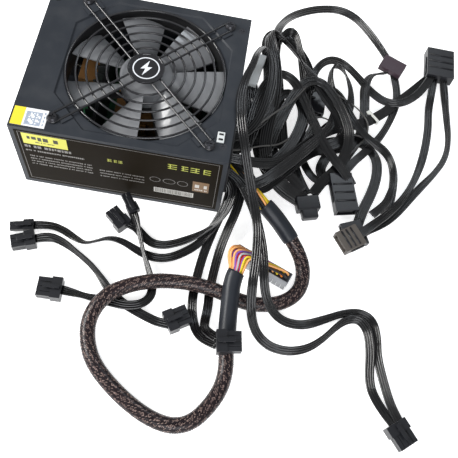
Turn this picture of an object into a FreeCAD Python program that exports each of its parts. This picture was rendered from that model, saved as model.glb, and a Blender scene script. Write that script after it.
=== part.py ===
"""Desktop power supply unit: folded case, top fan with wire guard, mains inlet, and its fixed output leads.

Frame: origin at the middle of the underside of the case, +Z up with the fan on top, +X towards the lead exit,
-X towards the mains inlet and -Y towards the printed side label. Millimetres.
"""
import FreeCAD, Part
import math
import os
import re
from FreeCAD import Placement, Rotation, Vector

# ---------------------------------------------------------------- driving sizes
SIZES = [
    ("length", 175.0, "case, inlet face to lead face"),
    ("width", 150.0, "case, label side to far side"),
    ("height", 86.0, "case, underside to cover"),
    ("gauge", 1.0, "folded steel sheet"),
    ("seam", 2.4, "height of the cover's lower edge over the underside"),
    ("lip", 10.0, "height of the tray's inner lips"),
    ("play", 0.15, "gap between folded sheets that slide past each other"),
    ("fan_side", 140.0, "fan frame, square"),
    ("fan_depth", 25.0, "fan frame, depth"),
    ("fan_pitch", 124.5, "fan screws, centre to centre"),
    ("fan_shift", 7.5, "fan axis towards the lead face"),
    ("fan_bore", 67.8, "radius of the fan's air duct"),
    ("blade_tip", 66.0, "radius of the rotor's blades"),
    ("blade_root", 20.6, "radius where a blade leaves the hub"),
    ("blade_wall", 1.6, "thickness of a blade"),
    ("blade_rise", 15.0, "height of a blade from edge to edge"),
    ("blade_camber", 1.8, "bulge of a blade's section"),
    ("hub_radius", 22.0, "rotor hub"),
    ("hub_height", 16.5, "rotor hub"),
    ("shaft_radius", 1.5, "rotor shaft"),
    ("mouth", 67.2, "radius of the cover's air opening"),
    ("sunk_half", 68.0, "half width of the sunk panel round the opening"),
    ("sunk_corner", 74.6, "distance of the sunk panel's cut corners from the fan axis"),
    ("sunk_depth", 1.2, "depth of the sunk panel"),
    ("pad_width", 16.0, "raised pad under a guard arm"),
    ("pad_from", 74.8, "radius where a pad starts"),
    ("pad_to", 84.6, "radius where a pad ends"),
    ("pad_rise", 1.0, "height of a pad"),
    ("wire", 1.8, "guard wire"),
    ("ring_first", 24.3, "radius of the guard's inner ring"),
    ("ring_step", 8.34, "guard rings, one to the next"),
    ("arm_half", 4.1, "half the distance between an arm's two wires"),
    ("badge_radius", 15.4, "guard badge"),
    ("badge_height", 1.8, "guard badge"),
    ("inlet_y", 48.0, "mains inlet"),
    ("inlet_z", 27.0, "mains inlet"),
    ("inlet_wide", 28.0, "mains inlet body"),
    ("inlet_high", 22.0, "mains inlet body"),
    ("inlet_deep", 21.0, "mains inlet body behind the panel"),
    ("socket_wide", 24.4, "mains inlet cavity"),
    ("socket_high", 17.4, "mains inlet cavity"),
    ("socket_deep", 18.0, "mains inlet cavity"),
    ("flange", 2.0, "flange of what is set in a panel"),
    ("flange_rim", 2.2, "how far a flange stands out round its body"),
    ("switch_z", 60.0, "rocker switch"),
    ("rocker_radius", 9.4, "rocker, about its own axis"),
    ("rocker_wide", 11.0, "rocker"),
    ("rocker_tilt", 12.0, "rocker's tilt to each side, degrees"),
    ("rocker_in", 3.0, "rocker's axis behind the inlet face"),
    ("rocker_gap", 0.3, "air round the rocker"),
    ("exit_y", -40.0, "lead exit"),
    ("exit_z", 44.0, "lead exit"),
    ("exit_wide", 46.0, "lead exit opening"),
    ("exit_high", 32.0, "lead exit opening"),
    ("grommet_wall", 2.0, "lead exit grommet"),
    ("stud_radius", 1.4, "case fixing hole, 6-32 thread"),
    ("stud_collar", 2.0, "extruded collar behind a fixing hole"),
    ("fix_edge", 6.0, "fixing holes from the case's edges"),
    ("fix_rise", 64.0, "third fixing hole above the lower pair"),
    ("fix_odd_rise", 74.0, "fourth fixing hole above the lower pair"),
    ("fix_odd_across", 114.0, "fourth fixing hole from the third's side"),
    ("cover_screw_in", 6.5, "cover screws from the case's end"),
    ("cover_screw_side", 60.5, "cover screws from the middle plane"),
    ("board_z", 8.0, "underside of the circuit board"),
    ("board_wall", 1.6, "circuit board"),
    ("pin_pitch", 4.2, "contacts of a lead plug, one to the next"),
    ("plug_long", 20.0, "lead plug, wire side to mating side"),
    ("plug_skirt", 8.6, "full-size rear part of a lead plug"),
    ("plug_back", 3.0, "closed wire side of a lead plug"),
    ("plug_rim", 0.8, "how far a plug's rear part stands out round its contacts"),
    ("post_gap", 0.4, "air between a plug's contact posts"),
    ("pin_hole", 2.6, "contact hole in a plug, square"),
    ("latch_wide", 3.4, "latch lever of a plug"),
    ("latch_wall", 1.1, "latch lever of a plug"),
    ("latch_long", 13.0, "latch lever of a plug"),
    ("main_lead", 13.0, "sleeved main lead, diameter"),
    ("shrink_wall", 1.2, "shrink tube on the main lead"),
    ("ribbon_wide", 7.9, "four-wire ribbon lead"),
    ("ribbon_thick", 2.0, "four-wire ribbon lead"),
]

doc = FreeCAD.newDocument("power_supply")
sheet = doc.addObject("Spreadsheet::Sheet", "Sizes")
for row, (alias, value, note) in enumerate(SIZES, start=1):
    sheet.set(f"A{row}", alias)
    sheet.set(f"B{row}", str(value))
    sheet.set(f"C{row}", note)
    sheet.setAlias(f"B{row}", alias)
doc.recompute()

subparts = []


def size(alias):
    """The value of one cell of the size sheet."""
    return float(sheet.get(alias))


def bind(expression):
    """An expression on aliases, with each alias given its sheet's name."""
    return re.sub(r"(?<![\w.])([a-z]\w*)(?![\w(])", r"Sizes.\1", str(expression))


def place(item, at):
    for axis, value in zip("xyz", at):
        item.setExpression(f"Placement.Base.{axis}", bind(value))
    return item


def box(name, at, dims):
    """A block from its lowest corner, with every size an expression."""
    item = doc.addObject("Part::Box", name)
    for prop, value in zip(("Length", "Width", "Height"), dims):
        item.setExpression(prop, bind(value))
    return place(item, at)


TURN = {"x": Rotation(Vector(0, 1, 0), 90), "y": Rotation(Vector(1, 0, 0), -90), "z": Rotation()}


def rod(name, at, radius, long, along="z"):
    """A cylinder that starts at a point and runs along +x, +y or +z."""
    item = doc.addObject("Part::Cylinder", name)
    item.setExpression("Radius", bind(radius))
    item.setExpression("Height", bind(long))
    item.Placement = Placement(Vector(), TURN[along])
    return place(item, at)


def cone(name, at, low, high, long):
    item = doc.addObject("Part::Cone", name)
    for prop, value in zip(("Radius1", "Radius2", "Height"), (low, high, long)):
        item.setExpression(prop, bind(value))
    return place(item, at)


def fuse(name, items):
    item = doc.addObject("Part::MultiFuse", name)
    item.Shapes = items
    return item


def cut(name, base, tools):
    """base less one tool, or less several tools joined first."""
    item = doc.addObject("Part::Cut", name)
    item.Base = base
    item.Tool = tools[0] if len(tools) == 1 else group(name + "_tools", tools)
    return item


def group(name, items):
    item = doc.addObject("Part::Compound", name)
    item.Links = items
    return item


def solid(name, shape):
    """A shape made with Part's own functions."""
    item = doc.addObject("Part::Feature", name)
    item.Shape = shape
    return item


def keep(item, node):
    """Marks an object as a finished sub-part. Its label names its file."""
    item.Label = node
    subparts.append(item)
    return item


# ---------------------------------------------------------------- case
def octagon(half, corner, z):
    """The sunk panel's outline: a square about the fan axis with cut corners."""
    short = corner * math.sqrt(2) - half
    ring = [(half, -short), (half, short), (short, half), (-short, half),
            (-half, short), (-half, -short), (-short, -half), (short, -half)]
    points = [Vector(size("fan_shift") + x, y, z) for x, y in ring]
    return Part.makePolygon(points + points[:1])


def sunk(name, spread):
    """The sunk panel's own volume, with sloping walls; spread makes it wider all round."""
    top, deep = size("height"), size("sunk_depth")
    half, corner = size("sunk_half") + spread, size("sunk_corner") + spread
    low = octagon(half - deep, corner - deep, top - deep - spread)
    high = octagon(half, corner, top - spread)
    return solid(name, Part.makeLoft([low, high], True, True))


def diagonal(item, turn):
    """Turns a piece made on +X about the fan axis."""
    item.Placement = Placement(Vector(), Rotation(Vector(0, 0, 1), turn))
    return place(item, ("fan_shift", "0", "0"))


def screw_places(z):
    """The four cover screws, near the case's ends."""
    return [(f"{sx} * (length / 2 - cover_screw_in)", f"{sy} * cover_screw_side", z)
            for sx in (1, -1) for sy in (1, -1)]


def fan_places(z):
    """The fan's four screws."""
    return [(f"fan_shift + {sx} * fan_pitch / 2", f"{sy} * fan_pitch / 2", z)
            for sx in (1, -1) for sy in (1, -1)]


def make_cover():
    plate = box("cover_plate", ("-length / 2", "-width / 2", "height - gauge"), ("length", "width", "gauge"))
    near = box("cover_near", ("-length / 2", "-width / 2", "seam"), ("length", "gauge", "height - seam"))
    far = box("cover_far", ("-length / 2", "width / 2 - gauge", "seam"), ("length", "gauge", "height - seam"))
    well = sunk("cover_well", size("gauge"))
    pads = []
    for turn in (45, 135, 225, 315):
        pad = box(f"pad_{turn}", ("pad_from", "-pad_width / 2", "height - gauge / 2"),
                  ("pad_to - pad_from", "pad_width", "pad_rise + gauge / 2"))
        slots = [box(f"pad_slot_{turn}_{side}", ("pad_from - 1", f"{side} * arm_half - wire * 0.65", "height"),
                     ("pad_to - pad_from + 2", "wire * 1.3", "pad_rise + 1")) for side in (-1, 1)]
        pads.append(diagonal(cut(f"pad_cut_{turn}", pad, slots), turn))
    blank = fuse("cover_blank", [plate, near, far, well] + pads)
    sink = sunk("cover_sink", 0.0)
    mouth = rod("cover_mouth", ("fan_shift", "0", "height - 4 * gauge"), "mouth", "8 * gauge")
    roll = cone("cover_roll", ("fan_shift", "0", "height - sunk_depth - gauge * 0.8"),
                "mouth", "mouth + 2 * gauge", "gauge * 0.8")
    holes = [rod(f"cover_fan_hole_{i}", at, "2.2", "6 * gauge")
             for i, at in enumerate(fan_places("height - 3 * gauge"))]
    holes += [cone(f"cover_screw_dimple_{i}", at, "1.9", "3.4", "gauge")
              for i, at in enumerate(screw_places("height - gauge"))]
    keep(cut("cover_shell", blank, [sink, mouth, roll] + holes), "top_cover")


def hex_vents():
    """Six-sided holes in rows, clear of the inlet, the switch and the fixing holes."""
    radius, pitch = 2.9, 6.4
    x = -size("length") / 2 - 1
    blocked = [(size("inlet_y"), size("inlet_z"), 19.0, 16.0), (size("inlet_y"), size("switch_z"), 12.0, 15.0)]
    blocked += [(y, z, 8.0, 8.0) for y, z in fixing_places()]
    holes = []
    rows = int((size("height") - 18) / (pitch * 0.866))
    columns = int((size("width") - 16) / pitch)
    for row in range(rows):
        z = 10 + row * pitch * 0.866
        for column in range(columns):
            y = -size("width") / 2 + 9 + column * pitch + (row % 2) * pitch / 2
            if any(abs(y - cy) < dy and abs(z - cz) < dz for cy, cz, dy, dz in blocked):
                continue
            corners = [Vector(x, y + radius * math.sin(k * math.pi / 3), z + radius * math.cos(k * math.pi / 3))
                       for k in range(6)]
            face = Part.Face(Part.makePolygon(corners + corners[:1]))
            holes.append(face.extrude(Vector(3 * size("gauge") + 2, 0, 0)))
    return solid("hex_vents", Part.makeCompound(holes))


def fixing_places():
    """The four case fixing holes on the inlet face, as (y, z)."""
    side, edge = size("width") / 2 - size("fix_edge"), size("fix_edge")
    return [(-side, edge), (side, edge), (-side, edge + size("fix_rise")),
            (-side + size("fix_odd_across"), edge + size("fix_odd_rise"))]


FIXINGS = [("-(width / 2 - fix_edge)", "fix_edge"), ("width / 2 - fix_edge", "fix_edge"),
           ("-(width / 2 - fix_edge)", "fix_edge + fix_rise"),
           ("-(width / 2 - fix_edge) + fix_odd_across", "fix_edge + fix_odd_rise")]


def make_tray():
    inner = "width - 2 * gauge - 2 * play"
    floor = box("tray_floor", ("-length / 2", "-width / 2", "0"), ("length", "width", "gauge"))
    inlet_end = box("tray_inlet_end", ("-length / 2", f"-({inner}) / 2", "0"),
                    ("gauge", inner, "height - gauge - play"))
    lead_end = box("tray_lead_end", ("length / 2 - gauge", f"-({inner}) / 2", "0"),
                   ("gauge", inner, "height - gauge - play"))
    lips = []
    for side, y in (("near", f"-({inner}) / 2"), ("far", f"({inner}) / 2 - gauge")):
        lips.append(box(f"tray_lip_{side}", ("-length / 2", y, "0"), ("length", "gauge", "lip")))
        edge = "-width / 2" if side == "near" else "width / 2 - 2 * gauge"
        lips.append(box(f"tray_edge_{side}", ("-length / 2", edge, "0"),
                        ("length", "2 * gauge", "seam - play")))
    tabs = []
    for end, x in (("lead", "length / 2 - 11"), ("inlet", "-length / 2")):
        for side in (-1, 1):
            tabs.append(box(f"tray_tab_{end}_{side + 1}",
                            (x, f"{side} * cover_screw_side - 6", "height - 2 * gauge - play"),
                            ("11", "12", "gauge")))
    collars = [rod(f"tray_collar_{i}", ("-length / 2 + gauge / 2", y, z),
                   "stud_radius + 1", "stud_collar + gauge / 2", "x") for i, (y, z) in enumerate(FIXINGS)]
    blank = fuse("tray_blank", [floor, inlet_end, lead_end] + lips + tabs + collars)
    openings = [
        box("tray_inlet_cut",
            ("-length / 2 - 1", "inlet_y - inlet_wide / 2 - play", "inlet_z - inlet_high / 2 - play"),
            ("gauge + 2", "inlet_wide + 2 * play", "inlet_high + 2 * play")),
        box("tray_switch_cut", ("-length / 2 - 1", "inlet_y - rocker_wide / 2 - 1.4 - play",
                                "switch_z - rocker_radius - 1.4 - play"),
            ("gauge + 2", "rocker_wide + 2.8 + 2 * play", "2 * rocker_radius + 2.8 + 2 * play")),
        box("tray_exit_cut", ("length / 2 - gauge - 1", "exit_y - exit_wide / 2 - grommet_wall - play",
                              "exit_z - exit_high / 2 - grommet_wall - play"),
            ("gauge + 2", "exit_wide + 2 * (grommet_wall + play)", "exit_high + 2 * (grommet_wall + play)")),
        hex_vents(),
    ]
    openings += [rod(f"tray_fixing_{i}", ("-length / 2 - 1", y, z),
                     "stud_radius", "stud_collar + gauge + 3", "x")
                 for i, (y, z) in enumerate(FIXINGS)]
    openings += [rod(f"tray_tab_hole_{i}", at, "1.45", "3 * gauge")
                 for i, at in enumerate(screw_places("height - 3 * gauge"))]
    keep(cut("tray_shell", blank, openings), "base_tray")


def make_cover_screws():
    screws = []
    for i, at in enumerate(screw_places("height - gauge")):
        head = cone(f"cover_screw_head_{i}", at, "1.85", "3.2", "gauge * 0.9")
        shank = rod(f"cover_screw_shank_{i}", (at[0], at[1], "height - gauge - 5"), "1.4", "5 + gauge / 2")
        slot = box(f"cover_screw_slot_{i}", (f"{at[0]} - 1.7", f"{at[1]} - 0.35", "height - gauge / 2"),
                   ("3.4", "0.7", "gauge"))
        cross = box(f"cover_screw_cross_{i}", (f"{at[0]} - 0.35", f"{at[1]} - 1.7", "height - gauge / 2"),
                    ("0.7", "3.4", "gauge"))
        screws.append(cut(f"cover_screw_{i}", fuse(f"cover_screw_body_{i}", [head, shank]), [slot, cross]))
    keep(group("cover_screw_set", screws), "cover_screws")


# ---------------------------------------------------------------- fan
FAN_TOP = "height - sunk_depth - gauge"
FAN_FLOOR = "height - sunk_depth - gauge - fan_depth"
HUB_FLOOR = "height - sunk_depth - gauge - fan_depth + 5.2"
BASE_WALL = 3.0


def make_fan_frame():
    body = box("frame_block", ("fan_shift - fan_side / 2", "-fan_side / 2", FAN_FLOOR),
               ("fan_side", "fan_side", "fan_depth"))
    duct = rod("frame_duct", ("fan_shift", "0", f"{FAN_FLOOR} - 1"), "fan_bore", "fan_depth + 2")
    holes = [rod(f"frame_hole_{i}", at, "2.15", "fan_depth + 2")
             for i, at in enumerate(fan_places(f"{FAN_FLOOR} - 1"))]
    rim = cut("frame_rim", body, [duct] + holes)
    base = rod("frame_base", ("fan_shift", "0", FAN_FLOOR), "hub_radius", str(BASE_WALL))
    struts = []
    for turn in (20, 110, 200, 290):
        strut = box(f"frame_strut_{turn}", ("0", "0", "0"), ("fan_bore + 1", "5", str(BASE_WALL)))
        strut.Placement = Placement(Vector(), Rotation(Vector(0, 0, 1), turn))
        struts.append(place(strut, ("fan_shift", "0", FAN_FLOOR)))
    keep(fuse("frame_all", [rim, base] + struts), "fan_frame")


def make_fan_stator():
    tube = rod("stator_tube", ("fan_shift", "0", f"{FAN_FLOOR} + {BASE_WALL}"), "4", "hub_height - 3")
    ring = rod("stator_ring", ("fan_shift", "0", f"{HUB_FLOOR} + 1"), "8", "hub_height - 7")
    coils = [tube, ring]
    for name, low, long in (("along", ("fan_shift - 16", "-4"), ("32", "8")),
                            ("across", ("fan_shift - 4", "-16"), ("8", "32"))):
        coils.append(box(f"stator_coil_{name}", (*low, f"{HUB_FLOOR} + 1"), (*long, "hub_height - 7")))
    bore = rod("stator_bore", ("fan_shift", "0", f"{FAN_FLOOR} + {BASE_WALL} + 0.8"),
               "shaft_radius + play / 2", "hub_height")
    keep(cut("stator_all", fuse("stator_solid", coils), [bore]), "fan_stator")


def blade_section(reach, half, rise, twist):
    """One cambered section of a blade, across the fan's radius."""
    edges = []
    for side in (1, -1):
        points = []
        for t in (-side, 0, side):
            camber = t * rise / 2 * twist + (1 - t * t) * size("blade_camber")
            points.append(Vector(reach, t * half, camber + side * size("blade_wall") / 2))
        edges.append(Part.Arc(*points).toShape())
    ends = [edge.Vertexes for edge in edges]
    edges.insert(1, Part.LineSegment(ends[0][-1].Point, ends[1][0].Point).toShape())
    edges.append(Part.LineSegment(ends[1][-1].Point, ends[0][0].Point).toShape())
    return Part.Wire(edges)


def make_fan_rotor():
    outer = rod("hub_outer", ("fan_shift", "0", HUB_FLOOR), "hub_radius", "hub_height")
    hollow = rod("hub_hollow", ("fan_shift", "0", f"{HUB_FLOOR} - 1"), "hub_radius - 2.4", "hub_height - 1")
    boss = rod("hub_boss", ("fan_shift", "0", f"{HUB_FLOOR} + hub_height - 5"), "3.4", "4")
    shaft = rod("hub_bore", ("fan_shift", "0", f"{HUB_FLOOR} - 1"), "shaft_radius", "hub_height")
    hub = fuse("hub_cup", [cut("hub_shell", outer, [hollow]), boss])
    floor = size("height") - size("sunk_depth") - size("gauge") - size("fan_depth")
    middle = floor + 5.2 + size("hub_height") / 2
    rise = size("blade_rise")
    sections = [blade_section(size("blade_root"), 6.4, rise, 1.0),
                blade_section(0.66 * size("blade_tip"), 13.5, rise, 0.86),
                blade_section(size("blade_tip") + 1, 19.6, rise, 0.7)]
    blade = Part.makeLoft(sections, True, False)
    blade = blade.common(Part.makeCylinder(size("blade_tip"), 60, Vector(0, 0, -30)))
    blades = []
    for k in range(7):
        turned = blade.copy()
        turned.rotate(Vector(), Vector(0, 0, 1), k * 360 / 7)
        turned.translate(Vector(size("fan_shift"), 0, middle))
        blades.append(solid(f"blade_{k}", turned))
    keep(cut("rotor_all", fuse("rotor_solid", [hub] + blades), [shaft]), "fan_rotor")


def make_fan_shaft():
    keep(rod("shaft_rod", ("fan_shift", "0", f"{FAN_FLOOR} + {BASE_WALL} + 0.8"), "shaft_radius",
             f"5.2 - {BASE_WALL} - 0.8 + hub_height - 1"), "fan_shaft")


def torus(name, at, major, minor, start=0, end=360):
    item = doc.addObject("Part::Torus", name)
    item.setExpression("Radius1", bind(major))
    item.setExpression("Radius2", bind(minor))
    item.Angle3 = end - start
    item.Placement = Placement(Vector(), Rotation(Vector(0, 0, 1), start))
    return place(item, at)


def make_guard():
    parts = [torus(f"guard_ring_{k}", ("fan_shift", "0", "height + wire * 0.08 - wire / 2"),
                   f"ring_first + {k} * ring_step", "wire / 2") for k in range(6)]
    for turn in (45, 135, 225, 315):
        for side in (-1, 1):
            arm = rod(f"guard_arm_{turn}_{side + 1}", ("0", "0", "0"), "wire / 2",
                      "fan_pitch / 2 * 1.41421356 - badge_radius * 0.8", "x")
            arm.Placement = Placement(Vector(), Rotation(Vector(0, 0, 1), turn).multiply(TURN["x"]))
            along, across = math.cos(math.radians(turn)), math.sin(math.radians(turn))
            parts.append(place(arm, (
                f"fan_shift + badge_radius * 0.8 * {along:.9f} - {side} * arm_half * {across:.9f}",
                f"badge_radius * 0.8 * {across:.9f} + {side} * arm_half * {along:.9f}", "height + wire / 2")))
        along, across = math.cos(math.radians(turn)), math.sin(math.radians(turn))
        parts.append(torus(f"guard_loop_{turn}",
                           (f"fan_shift + fan_pitch / 2 * 1.41421356 * {along:.9f}",
                            f"fan_pitch / 2 * 1.41421356 * {across:.9f}", "height + wire / 2"),
                           "arm_half", "wire / 2", turn - 90, turn + 90))
    keep(fuse("guard_all", parts), "fan_guard")


def make_badge():
    disc = rod("badge_disc", ("fan_shift", "0", "height + wire"), "badge_radius", "badge_height")
    dish = rod("badge_dish", ("fan_shift", "0", "height + wire + badge_height - 0.5"),
               "badge_radius - 1.2", "1")
    keep(cut("badge_all", disc, [dish]), "guard_badge")


def make_fan_screws():
    screws = []
    for i, (x, y, z) in enumerate(fan_places("height + wire")):
        head = cone(f"fan_screw_head_{i}", (x, y, z), "4.6", "3.2", "2")
        shank = rod(f"fan_screw_shank_{i}", (x, y, "height + wire - 12"), "2.1", "12.5")
        slot = box(f"fan_screw_slot_{i}", (f"{x} - 2.4", f"{y} - 0.45", "height + wire + 1"),
                   ("4.8", "0.9", "2"))
        cross = box(f"fan_screw_cross_{i}", (f"{x} - 0.45", f"{y} - 2.4", "height + wire + 1"),
                    ("0.9", "4.8", "2"))
        screws.append(cut(f"fan_screw_{i}", fuse(f"fan_screw_body_{i}", [head, shank]), [slot, cross]))
    keep(group("fan_screw_set", screws), "fan_screws")


# ---------------------------------------------------------------- panel fittings
def make_inlet():
    rim = box("inlet_flange", ("-length / 2 - flange", "inlet_y - inlet_wide / 2 - flange_rim",
                               "inlet_z - inlet_high / 2 - flange_rim"),
              ("flange", "inlet_wide + 2 * flange_rim", "inlet_high + 2 * flange_rim"))
    body = box("inlet_body", ("-length / 2 - flange", "inlet_y - inlet_wide / 2", "inlet_z - inlet_high / 2"),
               ("flange + inlet_deep", "inlet_wide", "inlet_high"))
    cavity = box("inlet_cavity",
                 ("-length / 2 - flange - 1", "inlet_y - socket_wide / 2", "inlet_z - socket_high / 2"),
                 ("socket_deep + 1", "socket_wide", "socket_high"))
    pins = [rod(f"inlet_bore_{k}", ("-length / 2 - flange + 4", y, z), "1.6", "inlet_deep + flange", "x")
            for k, (y, z) in enumerate(PIN_PLACES)]
    keep(cut("inlet_all", fuse("inlet_solid", [rim, body]), [cavity] + pins), "ac_inlet")
    blades = [rod(f"inlet_pin_{k}", ("-length / 2 - flange + 4", y, z), "1.6", "inlet_deep + 4", "x")
              for k, (y, z) in enumerate(PIN_PLACES)]
    keep(group("inlet_pin_set", blades), "inlet_pins")


PIN_PLACES = [("inlet_y", "inlet_z + 2.5"), ("inlet_y - 7", "inlet_z - 2.5"), ("inlet_y + 7", "inlet_z - 2.5")]


def make_switch():
    rim = box("bezel_flange", ("-length / 2 - flange", "inlet_y - rocker_wide / 2 - 1.4 - flange_rim",
                               "switch_z - rocker_radius - 1.4 - flange_rim"),
              ("flange", "rocker_wide + 2.8 + 2 * flange_rim", "2 * rocker_radius + 2.8 + 2 * flange_rim"))
    body = box("bezel_body", ("-length / 2 - flange", "inlet_y - rocker_wide / 2 - 1.4",
                              "switch_z - rocker_radius - 1.4"),
               ("flange + 15", "rocker_wide + 2.8", "2 * rocker_radius + 2.8"))
    well = box("bezel_well", ("-length / 2 - flange - 1", "inlet_y - rocker_wide / 2 - rocker_gap",
                              "switch_z - rocker_radius - rocker_gap"),
               ("flange + 14", "rocker_wide + 2 * rocker_gap", "2 * rocker_radius + 2 * rocker_gap"))
    pivot = rod("bezel_pivot", ("-length / 2 + rocker_in", "inlet_y - rocker_wide / 2 - 1.1", "switch_z"),
                "1.3", "rocker_wide + 2.2", "y")
    keep(cut("bezel_all", fuse("bezel_solid", [rim, body]), [well, pivot]), "switch_bezel")
    drum = rod("rocker_drum", ("-length / 2 + rocker_in", "inlet_y - rocker_wide / 2", "switch_z"),
               "rocker_radius", "rocker_wide", "y")
    x, z, reach = -size("length") / 2 + size("rocker_in"), size("switch_z"), 2 * size("rocker_radius")
    rise = reach * math.tan(math.radians(size("rocker_tilt")))
    ring = [(3.2, 0), (3.2 + rise, reach), (3 * reach, reach), (3 * reach, -reach), (3.2 + rise, -reach)]
    y = size("inlet_y") - size("rocker_wide")
    corners = [Vector(x - forward, y, z + up) for forward, up in ring]
    front = solid("rocker_front", Part.Face(Part.makePolygon(corners + corners[:1])).extrude(
        Vector(0, 2 * size("rocker_wide"), 0)))
    back = box("rocker_back",
               ("-length / 2 + rocker_in + 4", "inlet_y - rocker_wide", "switch_z - 2 * rocker_radius"),
               ("20", "2 * rocker_wide", "4 * rocker_radius"))
    axle = rod("rocker_axle", ("-length / 2 + rocker_in", "inlet_y - rocker_wide / 2 - 1", "switch_z"), "1.15",
               "rocker_wide + 2", "y")
    keep(fuse("rocker_all", [cut("rocker_shape", drum, [front, back]), axle]), "power_rocker")


def make_grommet():
    rim = box("grommet_flange", ("length / 2", "exit_y - exit_wide / 2 - grommet_wall - flange_rim",
                                 "exit_z - exit_high / 2 - grommet_wall - flange_rim"),
              ("flange", "exit_wide + 2 * grommet_wall + 2 * flange_rim",
               "exit_high + 2 * grommet_wall + 2 * flange_rim"))
    body = box("grommet_body", ("length / 2 - 4", "exit_y - exit_wide / 2 - grommet_wall",
                                "exit_z - exit_high / 2 - grommet_wall"),
               ("4 + flange", "exit_wide + 2 * grommet_wall", "exit_high + 2 * grommet_wall"))
    bore = box("grommet_bore", ("length / 2 - 5", "exit_y - exit_wide / 2", "exit_z - exit_high / 2"),
               ("6 + flange", "exit_wide", "exit_high"))
    keep(cut("grommet_all", fuse("grommet_solid", [rim, body]), [bore]), "cable_grommet")


# ---------------------------------------------------------------- inside the case
BOARD_TOP = "board_z + board_wall"


def make_inside():
    board = box("board_plate", ("-length / 2 + 24", "-width / 2 + 6", "board_z"), ("length - 34", "width - 12",
                                                                              "board_wall"))
    posts = [(x, f"{side} * (width / 2 - 12)")
             for x in ("30 - length / 2", "length / 2 - 16") for side in (-1, 1)]
    holes = [rod(f"board_hole_{i}", (x, y, "board_z - 1"), "1.5", "board_wall + 2")
             for i, (x, y) in enumerate(posts)]
    keep(cut("board_all", board, holes), "circuit_board")
    pillars = []
    for i, (x, y) in enumerate(posts):
        pillar = rod(f"standoff_pillar_{i}", (x, y, "gauge"), "3", "board_z - gauge")
        peg = rod(f"standoff_peg_{i}", (x, y, "gauge"), "1.5", f"{BOARD_TOP} - gauge + 1")
        pillars.append(fuse(f"standoff_{i}", [pillar, peg]))
    keep(group("standoff_set", pillars), "board_standoffs")
    for node, x, long in (("primary_heatsink", -34, 96), ("output_heatsink", 34, 88)):
        web = box(f"{node}_web", (str(x), f"-{long} / 2", BOARD_TOP), ("3", str(long), "40"))
        fin_x = str(x + 3 if x > 0 else x - 8)
        fins = [box(f"{node}_fin_{k}", (fin_x, f"-{long} / 2 + {k} * 8", f"{BOARD_TOP} + 28"),
                    ("8", "1.6", "12")) for k in range(int(long // 8))]
        keep(fuse(f"{node}_all", [web] + fins), node)
    core = box("core_block", ("-18", "-22", BOARD_TOP), ("38", "34", "36"))
    window = box("core_window", ("-10", "-24", f"{BOARD_TOP} + 7"), ("22", "38", "22"))
    coil = box("core_coil", ("-9", "-27", f"{BOARD_TOP} + 8"), ("20", "44", "20"))
    leg = box("core_leg", ("-4", "-22", BOARD_TOP), ("10", "34", "30"))
    keep(fuse("transformer_all", [cut("core_frame", core, [window]), coil, leg]), "main_transformer")
    ring = rod("choke_ring", ("52", "-30", f"{BOARD_TOP} + 17"), "17", "11", "x")
    eye = rod("choke_eye", ("51", "-30", f"{BOARD_TOP} + 17"), "7", "13", "x")
    keep(cut("choke_all", ring, [eye]), "output_choke")
    keep(rod("bulk_can", ("-55", "-28", BOARD_TOP), "12.5", "40"), "bulk_capacitor")
    cans = [rod(f"output_can_{k}", (str(52 + 13 * (k % 2)), str(8 + 13 * (k // 2)), BOARD_TOP), "5", "25")
            for k in range(6)]
    keep(group("output_can_set", cans), "output_capacitors")
    keep(box("filter_block", ("-60", "20", BOARD_TOP), ("18", "30", "24")), "line_filter")


def make_labels():
    keep(box("label_sheet", ("-length / 2 + 4", "-width / 2 - 0.2", "seam + 2.6"),
             ("length - 8", "0.2", "height - seam - 6.6")), "side_label")
    keep(box("sticker_sheet", ("-length / 2 + 1.5", "-width / 2 + 2", "height"), ("27", "17", "0.2")),
         "corner_sticker")


# ---------------------------------------------------------------- leads
def route_edges(points, report=None):
    """Straight runs joined by tangent arcs, one arc at each inner point."""
    spots = [Vector(*p) for p in points]
    edges = []
    here = spots[0]
    radii = []
    for before, corner, after in zip(spots, spots[1:], spots[2:]):
        into = (corner - before).normalize()
        out = (after - corner).normalize()
        turn = into.getAngle(out)
        back = 0.45 * min(before.distanceToPoint(corner), corner.distanceToPoint(after))
        radii.append(back / math.tan(turn / 2))
        start = corner - into * back
        end = corner + out * back
        inward = (out - into).normalize()
        middle = corner + inward * (radii[-1] / math.cos(turn / 2) - radii[-1])
        edges.append(Part.LineSegment(here, start).toShape())
        edges.append(Part.Arc(start, middle, end).toShape())
        here = end
    edges.append(Part.LineSegment(here, spots[-1]).toShape())
    if report:
        length = sum(edge.Length for edge in edges)
        print(f"{report}: length {length:.0f}, smallest arc radius {min(radii):.1f}")
    return edges


def section_at(edges, wide, thick):
    """The lead's section at its start: round, or a flat one lying level."""
    start = edges[0].Vertexes[0].Point
    along = (edges[0].Vertexes[-1].Point - start).normalize()
    if wide == thick:
        return Part.Wire(Part.Circle(start, along, wide / 2).toShape()), math.pi * wide * wide / 4
    across = Vector(0, 0, 1).cross(along).normalize()
    up = Vector(0, 0, 1)
    corners = [start + across * (a * wide / 2) + up * (b * thick / 2)
               for a, b in ((-1, -1), (1, -1), (1, 1), (-1, 1))]
    return Part.makePolygon(corners + corners[:1]), wide * thick


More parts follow.
